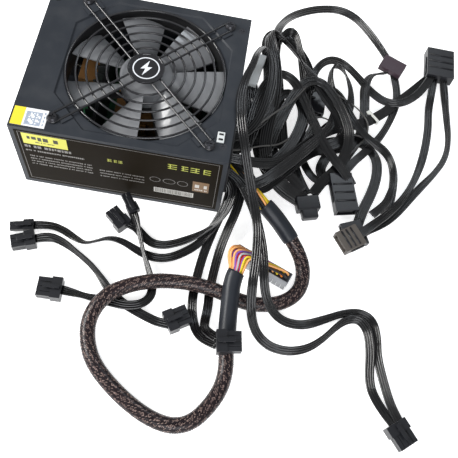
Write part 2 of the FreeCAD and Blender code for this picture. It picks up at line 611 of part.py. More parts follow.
def sweep(name, edges, wide, thick):
    """A lead's solid, checked against its section times its length."""
    path = Part.Wire(edges)
    section, area = section_at(edges, wide, thick)
    maker = Part.BRepOffsetAPI.MakePipeShell(path)
    if wide == thick:
        maker.setFrenetMode(False)
    else:
        maker.setBiNormalMode(Vector(0, 0, 1))
    maker.setTransitionMode(1)
    maker.add(section, False, False)
    maker.build()
    maker.makeSolid()
    shape = maker.shape()
    ratio = shape.Volume / (area * path.Length)
    print(f"{name}: volume {shape.Volume:.0f}, {ratio:.3f} of section times length")
    if not 0.8 < ratio < 1.1:
        raise ValueError(f"{name} folds into itself")
    return shape


# Each lead: width, thickness (equal for a round one) and the points its centre line turns about.
FLAT = (size("ribbon_wide"), size("ribbon_thick"))
FIVE = (size("ribbon_wide") * 1.24, size("ribbon_thick"))
ROUND = (size("main_lead"), size("main_lead"))
MOUTH_X = size("length") / 2 - 3
MOUTH_Y = size("exit_y")
MOUTH_Z = size("exit_z")


def mouth(across, up):
    """Where a lead starts, inside the grommet."""
    return MOUTH_X, MOUTH_Y + across, MOUTH_Z + up


LEADS = {
    "cord_main": (ROUND, [
        mouth(-8, -5), (101, -59, 38), (116, -72, 36), (129, -80, 31), (142, -89, 24), (155, -101, 17),
        (164, -112, 11), (168, -125, 8), (166, -140, 7), (156, -151, 6.7), (142, -157, 6.7),
        (125, -159, 7), (110, -157, 9), (95, -153, 11), (75, -151, 12), (56, -152, 12), (40, -156, 14),
        (24, -162, 14), (10, -171, 14), (1, -183, 12), (-3, -197, 9), (0, -213, 6.7), (8, -228, 6.7),
        (23, -242, 6.7), (42, -255, 6.7), (61, -264, 6.7), (78, -267, 6.7), (92, -262, 6.7),
        (103, -249, 6.7), (111, -233, 6.7), (113, -218, 6.7), (111, -203, 8.5), (109.5, -190, 10.5),
        (108.3, -176, 14), (107.6, -162, 18), (107, -149, 22), (109, -138, 26), (116, -131, 28),
        (124, -128.5, 25), (128.5, -127, 19)]),
    "cord_vga_a1": (FLAT, [
        mouth(-17, -13), (94, -61, 29), (93, -73, 23), (90, -84, 17), (83, -98, 9), (75, -110, 4),
        (65, -119, 2.4), (53, -127, 2), (41, -130, 2), (29, -128, 2), (19, -124, 2), (7, -119, 2),
        (-4, -119, 2), (-13, -124, 2), (-22, -128, 2), (-32, -124, 2.4), (-44, -118, 2.8),
        (-56, -116, 3.3), (-69, -119, 3.3)]),
    "cord_vga_a2": (FLAT, [
        (-64, -132, 5), (-53, -127, 4.7), (-40, -130, 4.7), (-24, -139, 4.7), (-10, -148, 4.7),
        (0, -158, 4.7), (9, -168, 4.7), (20, -175, 4.7), (32, -180, 4.7), (43, -184, 4.7), (53, -187, 5),
        (62, -187, 5)]),
    "cord_vga_b1": (FLAT, [
        mouth(-17, -8), (95, -62, 33), (96, -74, 27), (92, -86, 20), (84, -96, 12), (71, -105, 6),
        (57, -113, 4.4), (45, -118, 4.4), (34, -118, 4.4), (25, -112, 5), (16, -104, 6), (7, -104, 7)]),
    "cord_vga_b2": (FLAT, [
        (12, -93, 12), (19, -104, 11), (25, -119, 9), (31, -133, 7.6), (37, -145, 7.6), (42, -156, 7.6),
        (43, -167, 7.6), (36, -175, 7.6), (24, -178, 7.6), (12, -177, 7.6), (0, -176, 7), (-10, -175, 6),
        (-20, -174, 6), (-31, -173, 6)]),
    "cord_cpu_1": (FLAT, [
        mouth(-8, -13), (96, -56, 28), (94, -70, 20), (89, -84, 12), (84, -100, 5), (80, -118, 2),
        (78, -135, 2), (77, -150, 2), (77, -165, 2), (80, -179, 2), (85, -190, 5), (92, -198, 14),
        (102, -203, 24)]),
    "cord_cpu_2": (FLAT, [
        mouth(2, -13), (100, -50, 28), (104, -64, 24), (102, -80, 17), (97, -96, 10), (93, -114, 4),
        (91, -134, 2), (90, -152, 2), (91, -167, 2), (90, -180, 5), (91, -190, 13), (102, -198, 25)]),
    "cord_long_1": (FLAT, [
        mouth(8, 11), (97, -27, 56), (107, -12, 58), (112, 10, 60), (114, 34, 62), (112, 55, 64),
        (103, 66, 67), (97, 50, 75), (95, 29, 84), (90, 8, 89.6), (88, -15, 90.4), (92, -36, 89.8),
        (98, -54, 82), (105, -70, 68), (113, -88, 56), (120, -106, 48), (122, -129, 46), (122, -151, 42),
        (124, -170, 29), (130, -181, 14), (138, -187, 5), (149, -192, 1.6), (163, -193, 1.6),
        (178, -188, 1.6), (190, -178, 1.6), (199, -167, 1.6), (208, -158, 4), (219, -155, 4.2),
        (227, -163, 4.2), (230, -176, 4.2), (231, -189, 3), (231, -201, 1.6), (233, -213, 1.6),
        (239, -223, 1.8), (246, -232, 3), (253, -240, 5)]),
    "cord_long_2": (FLAT, [
        mouth(-17, 2), (98, -63, 46), (108, -77, 44), (117, -92, 41), (124, -109, 38), (129, -127, 36),
        (132, -145, 30), (137, -157, 20), (146, -165, 9), (158, -169, 3), (174, -168, 1.6),
        (191, -160, 1.6), (206, -152, 1.6), (221, -149, 1.6), (232, -154, 1.6), (236, -168, 1.6),
        (237, -184, 1.8), (241, -200, 3.5), (246, -216, 4.2), (251, -228, 4.8), (257, -238, 6)]),
    "cord_drive_a": (FLAT, [
        mouth(17, 11), (98, -20, 54), (110, -8, 50), (118, 10, 48), (121, 32, 48), (119, 53, 48),
        (114, 77, 48), (114, 113, 40), (126, 149, 22), (144, 174, 9), (163, 187, 4), (181, 190, 4),
        (198, 184, 4), (213, 168, 4), (227, 147, 5), (238, 127, 6), (244, 106, 6), (247, 82, 6),
        (240, 53, 7), (228, 27, 9), (214, 7, 12), (202, -8, 13), (193, -25, 12)]),
    "cord_drive_b": (FIVE, [
        mouth(-6, 5), (102, -47, 49), (117, -44, 44), (131, -36, 38), (144, -22, 32), (155, -6, 27),
        (167, 10, 22), (181, 24, 18), (197, 33, 15), (214, 42, 12), (230, 57, 10), (246, 76, 8),
        (259, 91, 7), (270, 105, 6), (280, 117, 6)]),
    "cord_drive_c": (FLAT, [
        mouth(17, 2), (98, -18, 44), (108, 6, 42), (111, 36, 42), (108, 68, 42), (104, 96, 38),
        (110, 115, 33), (122, 117, 30), (137, 107, 28), (150, 92, 24), (157, 78, 18), (160, 64, 12),
        (158, 57, 17), (155, 63, 23), (157, 81, 27), (166, 98, 24), (178, 108, 18), (192, 107, 13),
        (205, 97, 10), (218, 83, 9), (233, 73, 9), (248, 72, 12), (262, 83, 12), (273, 99, 12),
        (281, 117, 11)]),
    "cord_drive_d": (FLAT, [
        (293, 117, 9), (296, 93, 6), (298, 69, 5), (300, 44, 5), (296, 21, 5), (285, 2, 5), (272, -15, 5),
        (259, -34, 6), (246, -53, 8), (232, -67, 10), (216, -77, 11)]),
    "cord_drive_e": (FLAT, [
        (284, 117, 8.5), (281, 96, 9), (279, 75, 5), (279, 52, 5), (275, 22, 5), (267, -7, 5),
        (255, -32, 6), (240, -53, 13), (226, -69, 19), (211, -84, 20)]),
    "cord_drive_f": (FLAT, [
        (164, 62, 12), (174, 74, 14), (184, 68, 16), (192, 53, 18), (199, 38, 19), (208, 27, 18),
        (220, 19, 16), (233, 12, 14), (241, 1, 13), (244, -14, 12), (241, -31, 13), (235, -48, 17),
        (222, -62, 20)]),
}
SHRINKS = {"shrink_case_end": (1, 3), "shrink_plug_end": (32, 35)}

# Each plug: wire side, mating side, contact columns and rows, and the turn about its own length.
PLUGS = {
    "plug_vga_a_two": ((-68, -119, 3.3), (-88, -124, 3.3), 2, 1, 0),
    "plug_vga_a_six": ((-63, -132, 5.4), (-83, -140, 5.4), 3, 2, 0),
    "plug_vga_b_six": ((9, -108, 7), (-6, -95, 7), 3, 2, 0),
    "plug_vga_b_two": ((15, -95, 12), (4, -80, 12), 2, 1, 0),
    "plug_vga_b_end": ((-30, -173, 6), (-52, -174, 6), 4, 2, 0),
    "plug_vga_a_end": ((59, -187, 6), (76, -176, 6), 4, 2, 0),
    "plug_cpu": ((101, -201, 25), (121, -198, 25), 4, 2, 0),
    "plug_long": ((251, -238, 6.4), (266, -257, 6.4), 4, 2, 0),
}
SLAB_PLUGS = {
    "plug_sata_one": ((236, 112, 9), (243, 128, 9), 24, 6.4),
    "plug_sata_two": ((161, 66, 12), (160, 42, 12), 24, 7),
    "plug_drive_one": ((192, -22, 12), (201, -60, 12), 21, 10),
    "plug_sata_three": ((218, -76, 11), (200, -84, 11), 24, 6.4),
    "plug_drive_two": ((212, -84, 20), (195, -96, 20), 20, 9),
    "plug_drive_three": ((288.5, 114, 9), (289, 150, 9), 28, 12),
    "plug_drive_four": ((95.5, 34, 46), (101, 68, 48), 12, 10),
}


def aim(rear, front, roll=0):
    """The placement that lays local +X from the wire side to the mating side."""
    way = Vector(*front) - Vector(*rear)
    yaw = math.degrees(math.atan2(way.y, way.x))
    pitch = -math.degrees(math.atan2(way.z, math.hypot(way.x, way.y)))
    return Placement(Vector(*rear), Rotation(yaw, pitch, roll))


def contact_grid(name, columns, rows, start, side):
    """Square bars along +X, one at each contact, from a start past the mating side."""
    bars = []
    for column in range(columns):
        for row in range(rows):
            across = f"({column} - {(columns - 1) / 2}) * pin_pitch - ({side}) / 2"
            up = f"({row} - {(rows - 1) / 2}) * pin_pitch - ({side}) / 2"
            bars.append(box(f"{name}_{column}_{row}", (start, across, up),
                            (f"plug_long - ({start})", side, side)))
    return bars


def make_power_plug(node, rear, front, columns, rows, roll):
    """A plug with a square post round each contact, a fuller wire end and a latch lever on top."""
    wide, high = f"{columns} * pin_pitch + 2 * plug_rim", f"{rows} * pin_pitch + 2 * plug_rim"
    skirt = box(f"{node}_skirt", ("0", f"-({wide}) / 2", f"-({high}) / 2"), ("plug_skirt", wide, high))
    posts = contact_grid(f"{node}_post", columns, rows, "plug_skirt - 1", "pin_pitch - post_gap")
    foot = box(f"{node}_latch_foot", ("5", "-latch_wide / 2", f"({high}) / 2 - 0.2"),
               ("2.4", "latch_wide", "2.2"))
    lever = box(f"{node}_latch_lever", ("1.5", "-latch_wide / 2", f"({high}) / 2 + 1.4"),
                ("latch_long", "latch_wide", "latch_wall"))
    ways = contact_grid(f"{node}_way", columns, rows, "plug_back", "pin_hole")
    done = cut(f"{node}_all", fuse(f"{node}_solid", [skirt, foot, lever] + posts), ways)
    done.Placement = aim(rear, front, roll)
    keep(done, node)


def make_slab_plug(node, rear, front, wide, high):
    """A flat plug: a body as long as its two ends are apart, with a stepped mouth."""
    long = (Vector(*front) - Vector(*rear)).Length
    body = box(f"{node}_body", ("0", f"-{wide} / 2", f"-{high} / 2"), (f"{long:.2f}", f"{wide}", f"{high}"))
    mouth_cut = box(f"{node}_mouth", (f"{long:.2f} - 6", f"-{wide} / 2 + 2", f"-{high} / 2 + 1.5"),
                    ("8", f"{wide} - 4", f"{high} - 3"))
    tongue = box(f"{node}_tongue", (f"{long:.2f} - 7", f"-{wide} / 2 + 4", "-0.6"), ("6", f"{wide} - 8", "1.2"))
    done = fuse(f"{node}_all", [cut(f"{node}_shell", body, [mouth_cut]), tongue])
    done.Placement = aim(rear, front)
    keep(done, node)


def make_main_plug():
    """The wide main plug, stood on its mating side with its wires entering on top."""
    wide, high = "12 * pin_pitch + 2 * plug_rim", "2 * pin_pitch + 2 * plug_rim"
    skirt = box("plug_main_skirt", ("0", f"-({wide}) / 2", f"-({high}) / 2"), ("plug_skirt", wide, high))
    posts = contact_grid("plug_main_post", 12, 2, "plug_skirt - 1", "pin_pitch - post_gap")
    ways = contact_grid("plug_main_way", 12, 2, "plug_back", "pin_hole")
    done = cut("plug_main_all", fuse("plug_main_solid", [skirt] + posts), ways)
    lay = Rotation(Vector(0, 0, 1), -21.8).multiply(Rotation(Vector(0, 0, 1), -90)).multiply(
        Rotation(Vector(0, 1, 0), 90))
    done.Placement = Placement(Vector(131, -126, size("plug_long")), lay)
    keep(done, "plug_main")


def make_leads():
    for node, ((wide, thick), points) in LEADS.items():
        edges = route_edges(points, node)
        keep(solid(f"{node}_tube", sweep(node, edges, wide, thick)), node)
        if node == "cord_main":
            for name, (first, last) in SHRINKS.items():
                length = size("main_lead") + 2 * size("shrink_wall")
                part = edges[2 * first:2 * last + 1]
                outer = sweep(name, part, length, length)
                inner = sweep(name, part, wide, thick)
                keep(solid(f"{name}_tube", outer.cut(inner)), name)


def make_tie():
    """A band round the five-wire lead, at the middle of one of its straight runs."""
    (wide, thick), points = LEADS["cord_drive_b"]
    one, two = Vector(*points[9]), Vector(*points[10])
    outer = box("tie_outer", ("-1.2", f"-{wide} / 2 - 1.3", f"-{thick} / 2 - 1.5"),
                ("2.4", f"{wide} + 2.6", f"{thick} + 3"))
    inner = box("tie_inner", ("-2", f"-{wide} / 2 - 0.3", f"-{thick} / 2 - 0.5"),
                ("4", f"{wide} + 0.6", f"{thick} + 1"))
    lock = box("tie_lock", ("-2.4", f"{wide} / 2 + 0.4", "-2"), ("4.8", "4", "4"))
    done = fuse("tie_all", [cut("tie_band", outer, [inner]), lock])
    place_on = aim(one, two)
    place_on.Base = (one + two) / 2
    done.Placement = place_on
    keep(done, "cable_tie")


make_cover()
make_tray()
make_cover_screws()
make_fan_frame()
make_fan_stator()
make_fan_rotor()
make_fan_shaft()
make_guard()
make_badge()
make_fan_screws()
make_inlet()
make_switch()
make_grommet()
make_inside()
make_labels()
make_leads()
for plug, data in PLUGS.items():
    make_power_plug(plug, *data)
for plug, data in SLAB_PLUGS.items():
    make_slab_plug(plug, *data)
make_main_plug()
make_tie()
doc.recompute()

for item in doc.Objects:
    if "Invalid" in item.State or "Error" in item.State:
        raise RuntimeError(f"{item.Name} did not build: {item.State}")
os.makedirs("parts", exist_ok=True)
for item in subparts:
    if item.Shape.isNull() or not item.Shape.isValid():
        raise RuntimeError(f"{item.Label} has no valid shape")
    item.Shape.exportStep(f"parts/{item.Label}.step")
print(f"{len(subparts)} sub-parts written")
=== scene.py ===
"""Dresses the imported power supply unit.

Case, fan, label, leads and plugs, with a floor, lights and a camera.
"""

from __future__ import annotations

import logging
import math
from dataclasses import dataclass, field
from enum import Enum
from typing import Callable, Sequence

import bmesh
import bpy
from mathutils import Matrix, Vector

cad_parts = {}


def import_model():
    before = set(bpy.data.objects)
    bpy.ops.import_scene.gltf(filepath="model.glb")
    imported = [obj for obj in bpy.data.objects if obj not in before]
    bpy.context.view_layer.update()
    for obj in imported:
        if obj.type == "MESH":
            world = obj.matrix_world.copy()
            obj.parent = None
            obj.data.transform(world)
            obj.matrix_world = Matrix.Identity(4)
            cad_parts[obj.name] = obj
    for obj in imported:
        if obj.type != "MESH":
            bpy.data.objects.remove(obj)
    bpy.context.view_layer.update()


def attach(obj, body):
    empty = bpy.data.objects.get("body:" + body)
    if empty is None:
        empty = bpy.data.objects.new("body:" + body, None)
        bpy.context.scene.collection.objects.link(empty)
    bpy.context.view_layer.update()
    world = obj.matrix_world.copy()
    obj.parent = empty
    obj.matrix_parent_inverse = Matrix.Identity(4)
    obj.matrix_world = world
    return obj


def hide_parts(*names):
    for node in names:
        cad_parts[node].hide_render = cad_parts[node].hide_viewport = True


LOG = logging.getLogger("power_supply")
MM = 0.001
UNIT = "unit"
ROTOR = "rotor"
ROCKER = "rocker"
# Places in millimetres: the label's face, the sticker's top, the contact pitch, the main plug's top.
LABEL_Y = -75.2
STICKER_Z = 86.2
PIN_PITCH = 4.2
MAIN_PLUG_AT = (131, -126, 20)
# The main plug's turn in radians, and the inline plug's wire side and mating side in millimetres.
MAIN_PLUG_YAW = math.radians(-21.8)
INLINE_PLUG = ((163, -50, 10), (169, -70, 9))
Color = tuple[float, float, float]
Point = tuple[float, float, float]
Spot = tuple[float, float]
Frame = tuple[Vector, Vector, Vector]


# ------------------------------------------------------------------ finishes
class Effect(Enum):
    """The shader groups that several finishes share."""

    GRAIN = "surface_grain"
    DUST = "settled_dust"


def new_group(name: str, inputs: dict[str, float], outputs: dict[str, str]) -> bpy.types.ShaderNodeTree:
    """Makes an empty shader group with its sockets.

    Args:
        name: The group's name.
        inputs: Each number input and its default.
        outputs: Each output and its socket type.

    Returns:
        The group, with Group Input and Group Output nodes in it.
    """
    tree = bpy.data.node_groups.new(name, "ShaderNodeTree")
    for label, value in inputs.items():
        socket = tree.interface.new_socket(label, in_out="INPUT", socket_type="NodeSocketFloat")
        socket.default_value = value
    for label, kind in outputs.items():
        tree.interface.new_socket(label, in_out="OUTPUT", socket_type=kind)
    tree.nodes.new("NodeGroupInput")
    tree.nodes.new("NodeGroupOutput")
    return tree


def math_node(tree: bpy.types.NodeTree, operation: str, one: bpy.types.NodeSocket,
              two: bpy.types.NodeSocket | float) -> bpy.types.NodeSocket:
    """Adds a maths node to a tree.

    Args:
        tree: The tree.
        operation: What it does.
        one: Its first operand.
        two: Its second, a socket or a number.

    Returns:
        Its result.
    """
    node = tree.nodes.new("ShaderNodeMath")
    node.operation = operation
    tree.links.new(one, node.inputs[0])
    if isinstance(two, float):
        node.inputs[1].default_value = two
    else:
        tree.links.new(two, node.inputs[1])
    return node.outputs[0]


def grain_group() -> bpy.types.ShaderNodeTree:
    """A broad tone and a fine height that most finishes use.

    Returns:
        The group, with Fine and Broad scales in and Tone and Height out.
    """
    found = bpy.data.node_groups.get(Effect.GRAIN.value)
    if found:
        return found
    tree = new_group(Effect.GRAIN.value, {"Fine": 900.0, "Broad": 30.0},
                     {"Tone": "NodeSocketFloat", "Height": "NodeSocketFloat"})
    nodes, links = tree.nodes, tree.links
    coords = nodes.new("ShaderNodeTexCoord")
    for label, scale, detail in (("Tone", "Broad", 3.0), ("Height", "Fine", 2.0)):
        noise = nodes.new("ShaderNodeTexNoise")
        noise.inputs["Detail"].default_value = detail
        links.new(coords.outputs["Object"], noise.inputs["Vector"])
        links.new(nodes["Group Input"].outputs[scale], noise.inputs["Scale"])
        links.new(noise.outputs["Fac"], nodes["Group Output"].inputs[label])
    return tree


def dust_group() -> bpy.types.ShaderNodeTree:
    """Dust that lies in patches on faces that look up.

    Returns:
        The group, with Scale and Amount in and Mask out.
    """
    found = bpy.data.node_groups.get(Effect.DUST.value)
    if found:
        return found
    tree = new_group(Effect.DUST.value, {"Scale": 60.0, "Amount": 0.3}, {"Mask": "NodeSocketFloat"})
    nodes, links = tree.nodes, tree.links
    coords = nodes.new("ShaderNodeTexCoord")
    noise = nodes.new("ShaderNodeTexNoise")
    noise.inputs["Detail"].default_value = 6.0
    links.new(coords.outputs["Object"], noise.inputs["Vector"])
    links.new(nodes["Group Input"].outputs["Scale"], noise.inputs["Scale"])
    facing = nodes.new("ShaderNodeSeparateXYZ")
    shape = nodes.new("ShaderNodeNewGeometry")
    links.new(shape.outputs["Normal"], facing.inputs[0])
    up = math_node(tree, "MAXIMUM", facing.outputs["Z"], 0.0)
    spread = nodes.new("ShaderNodeMapRange")
    spread.inputs["From Min"].default_value = 0.45
    spread.inputs["From Max"].default_value = 0.75
    links.new(noise.outputs["Fac"], spread.inputs["Value"])
    both = math_node(tree, "MULTIPLY", up, spread.outputs["Result"])
    scaled = math_node(tree, "MULTIPLY", both, nodes["Group Input"].outputs["Amount"])
    links.new(scaled, nodes["Group Output"].inputs["Mask"])
    return tree


@dataclass(frozen=True)
class Finish:
    """One surface finish, from two colours, a roughness range and a bump."""

    name: str
    color: Color
    shade: Color
    rough: tuple[float, float] = (0.35, 0.55)
    metal: float = 0.0
    coat: float = 0.0
    fine: float = 900.0
    broad: float = 30.0
    bump: float = 0.15
    dust: float = 0.0
    specular: float = 0.3

    def material(self) -> bpy.types.Material:
        """The finish's material, made once."""
        found = bpy.data.materials.get(self.name)
        if found:
            return found
        made = bpy.data.materials.new(self.name)
        made.use_nodes = True
        nodes, links = made.node_tree.nodes, made.node_tree.links
        shader = nodes["Principled BSDF"]
        shader.inputs["Metallic"].default_value = self.metal
        shader.inputs["Coat Weight"].default_value = self.coat
        shader.inputs["Coat Roughness"].default_value = 0.08
        shader.inputs["Specular IOR Level"].default_value = self.specular
        grain = nodes.new("ShaderNodeGroup")
        grain.node_tree = grain_group()
        grain.inputs["Fine"].default_value = self.fine
        grain.inputs["Broad"].default_value = self.broad
        tint = nodes.new("ShaderNodeMix")
        tint.data_type = "RGBA"
        tint.inputs[6].default_value = (*self.color, 1.0)
        tint.inputs[7].default_value = (*self.shade, 1.0)
        links.new(grain.outputs["Tone"], tint.inputs[0])
        color = tint.outputs[2]
        if self.dust:
            dust = nodes.new("ShaderNodeGroup")
            dust.node_tree = dust_group()
            dust.inputs["Amount"].default_value = self.dust
            grey = nodes.new("ShaderNodeMix")
            grey.data_type = "RGBA"
            grey.inputs[7].default_value = (0.32, 0.31, 0.29, 1.0)
            links.new(dust.outputs["Mask"], grey.inputs[0])
            links.new(color, grey.inputs[6])
            color = grey.outputs[2]
        links.new(color, shader.inputs["Base Color"])
        gloss = nodes.new("ShaderNodeMapRange")
        gloss.inputs["To Min"].default_value = self.rough[0]
        gloss.inputs["To Max"].default_value = self.rough[1]
        links.new(grain.outputs["Tone"], gloss.inputs["Value"])
        links.new(gloss.outputs["Result"], shader.inputs["Roughness"])
        bump = nodes.new("ShaderNodeBump")
        bump.inputs["Strength"].default_value = self.bump
        bump.inputs["Distance"].default_value = 0.0003
        links.new(grain.outputs["Height"], bump.inputs["Height"])
        links.new(bump.outputs["Normal"], shader.inputs["Normal"])
        return made


class Finishes:
    """Every finish of the unit, by what it covers."""

    case = Finish("case_powder_coat", (0.016, 0.019, 0.0245), (0.022, 0.0255, 0.032), (0.42, 0.55),
                  fine=1500, bump=0.12, dust=0.03, specular=0.25)
    guard = Finish("guard_gloss_black", (0.012, 0.012, 0.014), (0.02, 0.02, 0.022), (0.12, 0.25), coat=0.6)
    badge = Finish("badge_gloss_black", (0.006, 0.006, 0.008), (0.01, 0.01, 0.012), (0.08, 0.16),
                   coat=0.8, bump=0.02)
    badge_mark = Finish("badge_white_mark", (0.75, 0.77, 0.8), (0.6, 0.62, 0.66), (0.3, 0.4))
    fan_frame = Finish("fan_frame_black", (0.012, 0.012, 0.013), (0.02, 0.02, 0.021), (0.4, 0.6))
    rotor = Finish("rotor_smoke_grey", (0.17, 0.175, 0.185), (0.23, 0.235, 0.245), (0.2, 0.34),
                   coat=0.3, bump=0.05)
    screw = Finish("screw_black_zinc", (0.03, 0.03, 0.034), (0.06, 0.06, 0.066), (0.25, 0.4), metal=0.8)
    plastic = Finish("fitting_black_plastic", (0.012, 0.012, 0.014), (0.02, 0.02, 0.022), (0.35, 0.5))
    brass = Finish("contact_tinned_brass", (0.72, 0.68, 0.58), (0.6, 0.55, 0.42), (0.15, 0.3), metal=1.0)
    board = Finish("board_green_mask", (0.02, 0.09, 0.04), (0.03, 0.13, 0.06), (0.25, 0.4), broad=150)
    aluminium = Finish("heatsink_aluminium", (0.10, 0.10, 0.105), (0.07, 0.07, 0.075), (0.4, 0.55),
                       metal=0.8)
    tape = Finish("winding_tape_brown", (0.20, 0.10, 0.035), (0.14, 0.07, 0.025), (0.3, 0.4))
    copper = Finish("choke_copper_wire", (0.55, 0.22, 0.08), (0.4, 0.15, 0.05), (0.2, 0.35),
                    metal=0.9, fine=500, bump=0.6)
    sleeve_can = Finish("capacitor_sleeve", (0.03, 0.02, 0.016), (0.05, 0.035, 0.03), (0.2, 0.35))
    label = Finish("label_warm_black", (0.0075, 0.0052, 0.0028), (0.011, 0.008, 0.0045), (0.45, 0.55),
                   fine=400, bump=0.05, specular=0.03)
    label_yellow = Finish("label_print_yellow", (0.62, 0.60, 0.10), (0.55, 0.52, 0.08), (0.35, 0.45))
    label_olive = Finish("label_print_olive", (0.42, 0.44, 0.07), (0.36, 0.38, 0.06), (0.35, 0.45))
    label_grey = Finish("label_print_grey", (0.22, 0.21, 0.2), (0.16, 0.15, 0.14), (0.4, 0.5))
    label_white = Finish("label_print_white", (0.6, 0.58, 0.54), (0.5, 0.48, 0.45), (0.4, 0.5))
    label_brown = Finish("label_print_brown", (0.16, 0.085, 0.03), (0.2, 0.11, 0.045), (0.3, 0.4))
    label_ink = Finish("label_print_ink", (0.03, 0.03, 0.02), (0.05, 0.05, 0.03), (0.4, 0.5))
    sticker = Finish("sticker_white", (0.75, 0.76, 0.76), (0.66, 0.67, 0.69), (0.45, 0.55))
    sticker_yellow = Finish("sticker_yellow", (0.72, 0.6, 0.04), (0.65, 0.53, 0.03), (0.4, 0.5))
    sticker_blue = Finish("sticker_code_blue", (0.22, 0.27, 0.36), (0.3, 0.35, 0.44), (0.4, 0.5))
    jacket = Finish("lead_black_jacket", (0.0022, 0.0022, 0.0026), (0.0045, 0.0045, 0.0052), (0.15, 0.24),
                    broad=60, bump=0.05, fine=500, specular=0.62)
    thin_jacket = Finish("thin_lead_jacket", (0.05, 0.048, 0.046), (0.08, 0.076, 0.07), (0.25, 0.4),
                         specular=0.5)
    core = Finish("sleeve_wires", (0.010, 0.006, 0.011), (0.035, 0.010, 0.010), (0.35, 0.5), broad=22)
    strand = Finish("sleeve_strand_black", (0.006, 0.005, 0.007), (0.018, 0.012, 0.014), (0.22, 0.35),
                    broad=40)
    # The braid's glint finish is a painted highlight: light dots that stand for light glinting off the
    # strands.
    strand_painted_glint = Finish("sleeve_strand_glint", (0.36, 0.27, 0.23), (0.09, 0.05, 0.055), (0.2, 0.35),
                        broad=45)
    shrink = Finish("shrink_tube_slate", (0.012, 0.014, 0.019), (0.018, 0.021, 0.027), (0.32, 0.45),
                    broad=50)
    plug = Finish("plug_black_nylon", (0.007, 0.0075, 0.0095), (0.013, 0.0135, 0.0165), (0.25, 0.4),
                  specular=0.4)
    plug_purple = Finish("plug_aubergine_nylon", (0.035, 0.022, 0.03), (0.05, 0.03, 0.04), (0.35, 0.5))
    plug_brown = Finish("plug_umber_nylon", (0.06, 0.052, 0.045), (0.08, 0.07, 0.062), (0.4, 0.55))
    plug_white = Finish("plug_white_nylon", (0.6, 0.62, 0.62), (0.5, 0.52, 0.52), (0.35, 0.5))
    # The main plug is black nylon; its pale grey here is a painted reflection of the light on its glossy
    # edges.
    plug_painted_reflection = Finish("plug_grey_painted_reflection", (0.35, 0.36, 0.38), (0.25, 0.26, 0.28), (0.35, 0.5))
    nylon = Finish("tie_natural_nylon", (0.72, 0.72, 0.68), (0.62, 0.62, 0.58), (0.3, 0.42))
    wires = {
        "orange": Finish("wire_light_orange", (0.85, 0.42, 0.16), (0.76, 0.35, 0.12), (0.3, 0.4)),
        "deep_orange": Finish("wire_orange", (0.75, 0.22, 0.03), (0.68, 0.18, 0.02), (0.3, 0.4)),
        "purple": Finish("wire_purple", (0.22, 0.09, 0.42), (0.18, 0.07, 0.35), (0.3, 0.4)),
        "pink": Finish("wire_pink", (0.75, 0.12, 0.18), (0.65, 0.09, 0.14), (0.3, 0.4)),
        "red": Finish("wire_red", (0.6, 0.02, 0.02), (0.5, 0.015, 0.015), (0.3, 0.4)),
        "grey": Finish("wire_grey", (0.4, 0.4, 0.42), (0.33, 0.33, 0.35), (0.3, 0.4)),
        "yellow": Finish("wire_yellow", (0.78, 0.58, 0.03), (0.7, 0.5, 0.02), (0.3, 0.4)),
        "black": Finish("wire_black", (0.012, 0.012, 0.014), (0.02, 0.02, 0.022), (0.3, 0.4)),
        "green": Finish("wire_green", (0.04, 0.3, 0.08), (0.03, 0.24, 0.06), (0.3, 0.4)),
    }


# ------------------------------------------------------------------ mesh help
def add_piece(name: str, mesh: bpy.types.Mesh, body: str, finishes: Sequence[Finish],
              replaces: Sequence[str] = ()) -> bpy.types.Object:
    """Links a finished mesh as a piece that rides on a body.

    Args:
        name: The piece's name.
        mesh: Its mesh, already in place.
        body: The CAD body it moves with.
        finishes: Its material slots in order.
        replaces: The CAD nodes it stands for.

    Returns:
        The piece.
    """
    obj = bpy.data.objects.new(name, mesh)
    bpy.context.scene.collection.objects.link(obj)
    if not mesh.materials:
        for finish in finishes:
            mesh.materials.append(finish.material())
    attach(obj, body)
    if replaces:
        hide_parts(*replaces)
    LOG.info("piece %s: %d faces", name, len(mesh.polygons))
    return obj


def mesh_from(name: str, bm: bmesh.types.BMesh, smooth: bool = True) -> bpy.types.Mesh:
    """Turns a bmesh into a mesh and frees it.

    Args:
        name: The mesh's name.
        bm: What to turn.
        smooth: Whether its faces shade smoothly.

    Returns:
        The mesh.
    """
    mesh = bpy.data.meshes.new(name)
    for face in bm.faces:
        face.smooth = smooth
    bm.to_mesh(mesh)
    bm.free()
    return mesh


def piece_from(name: str, bm: bmesh.types.BMesh, body: str, finishes: Sequence[Finish],
               replaces: Sequence[str] = (), smooth: bool = True) -> bpy.types.Object:
    """Turns a bmesh into a piece that rides on a body.

    Args:
        name: The piece's name.
        bm: Its shape, which is freed.
        body: The CAD body it moves with.
        finishes: Its material slots in order.
        replaces: The CAD nodes it stands for.
        smooth: Whether its faces shade smoothly.

    Returns:
        The piece.
    """
    return add_piece(name, mesh_from(name, bm, smooth), body, finishes, replaces)


def add_block(bm: bmesh.types.BMesh, low: Point, high: Point, matrix: Matrix | None = None) -> None:
    """Adds a block, in millimetres, to a bmesh in metres.

    Args:
        bm: The bmesh.
        low: Its lowest corner.
        high: Its highest corner.
        matrix: Where it goes, in metres.
    """
    made = bmesh.ops.create_cube(bm, size=1.0)["verts"]
    size = Vector(high) - Vector(low)
    middle = (Vector(high) + Vector(low)) / 2
    for vert in made:
        at = Vector([vert.co[i] * size[i] + middle[i] for i in range(3)]) * MM
        vert.co = matrix @ at if matrix else at


def face_toward(bm: bmesh.types.BMesh, way: Point) -> None:
    """Turns every face of a flat mark to one side.

    Args:
        bm: The mark.
        way: The direction its faces look in.
    """
    for face in bm.faces:
        face.normal_update()
        if face.normal.dot(Vector(way)) < 0:
            face.normal_flip()


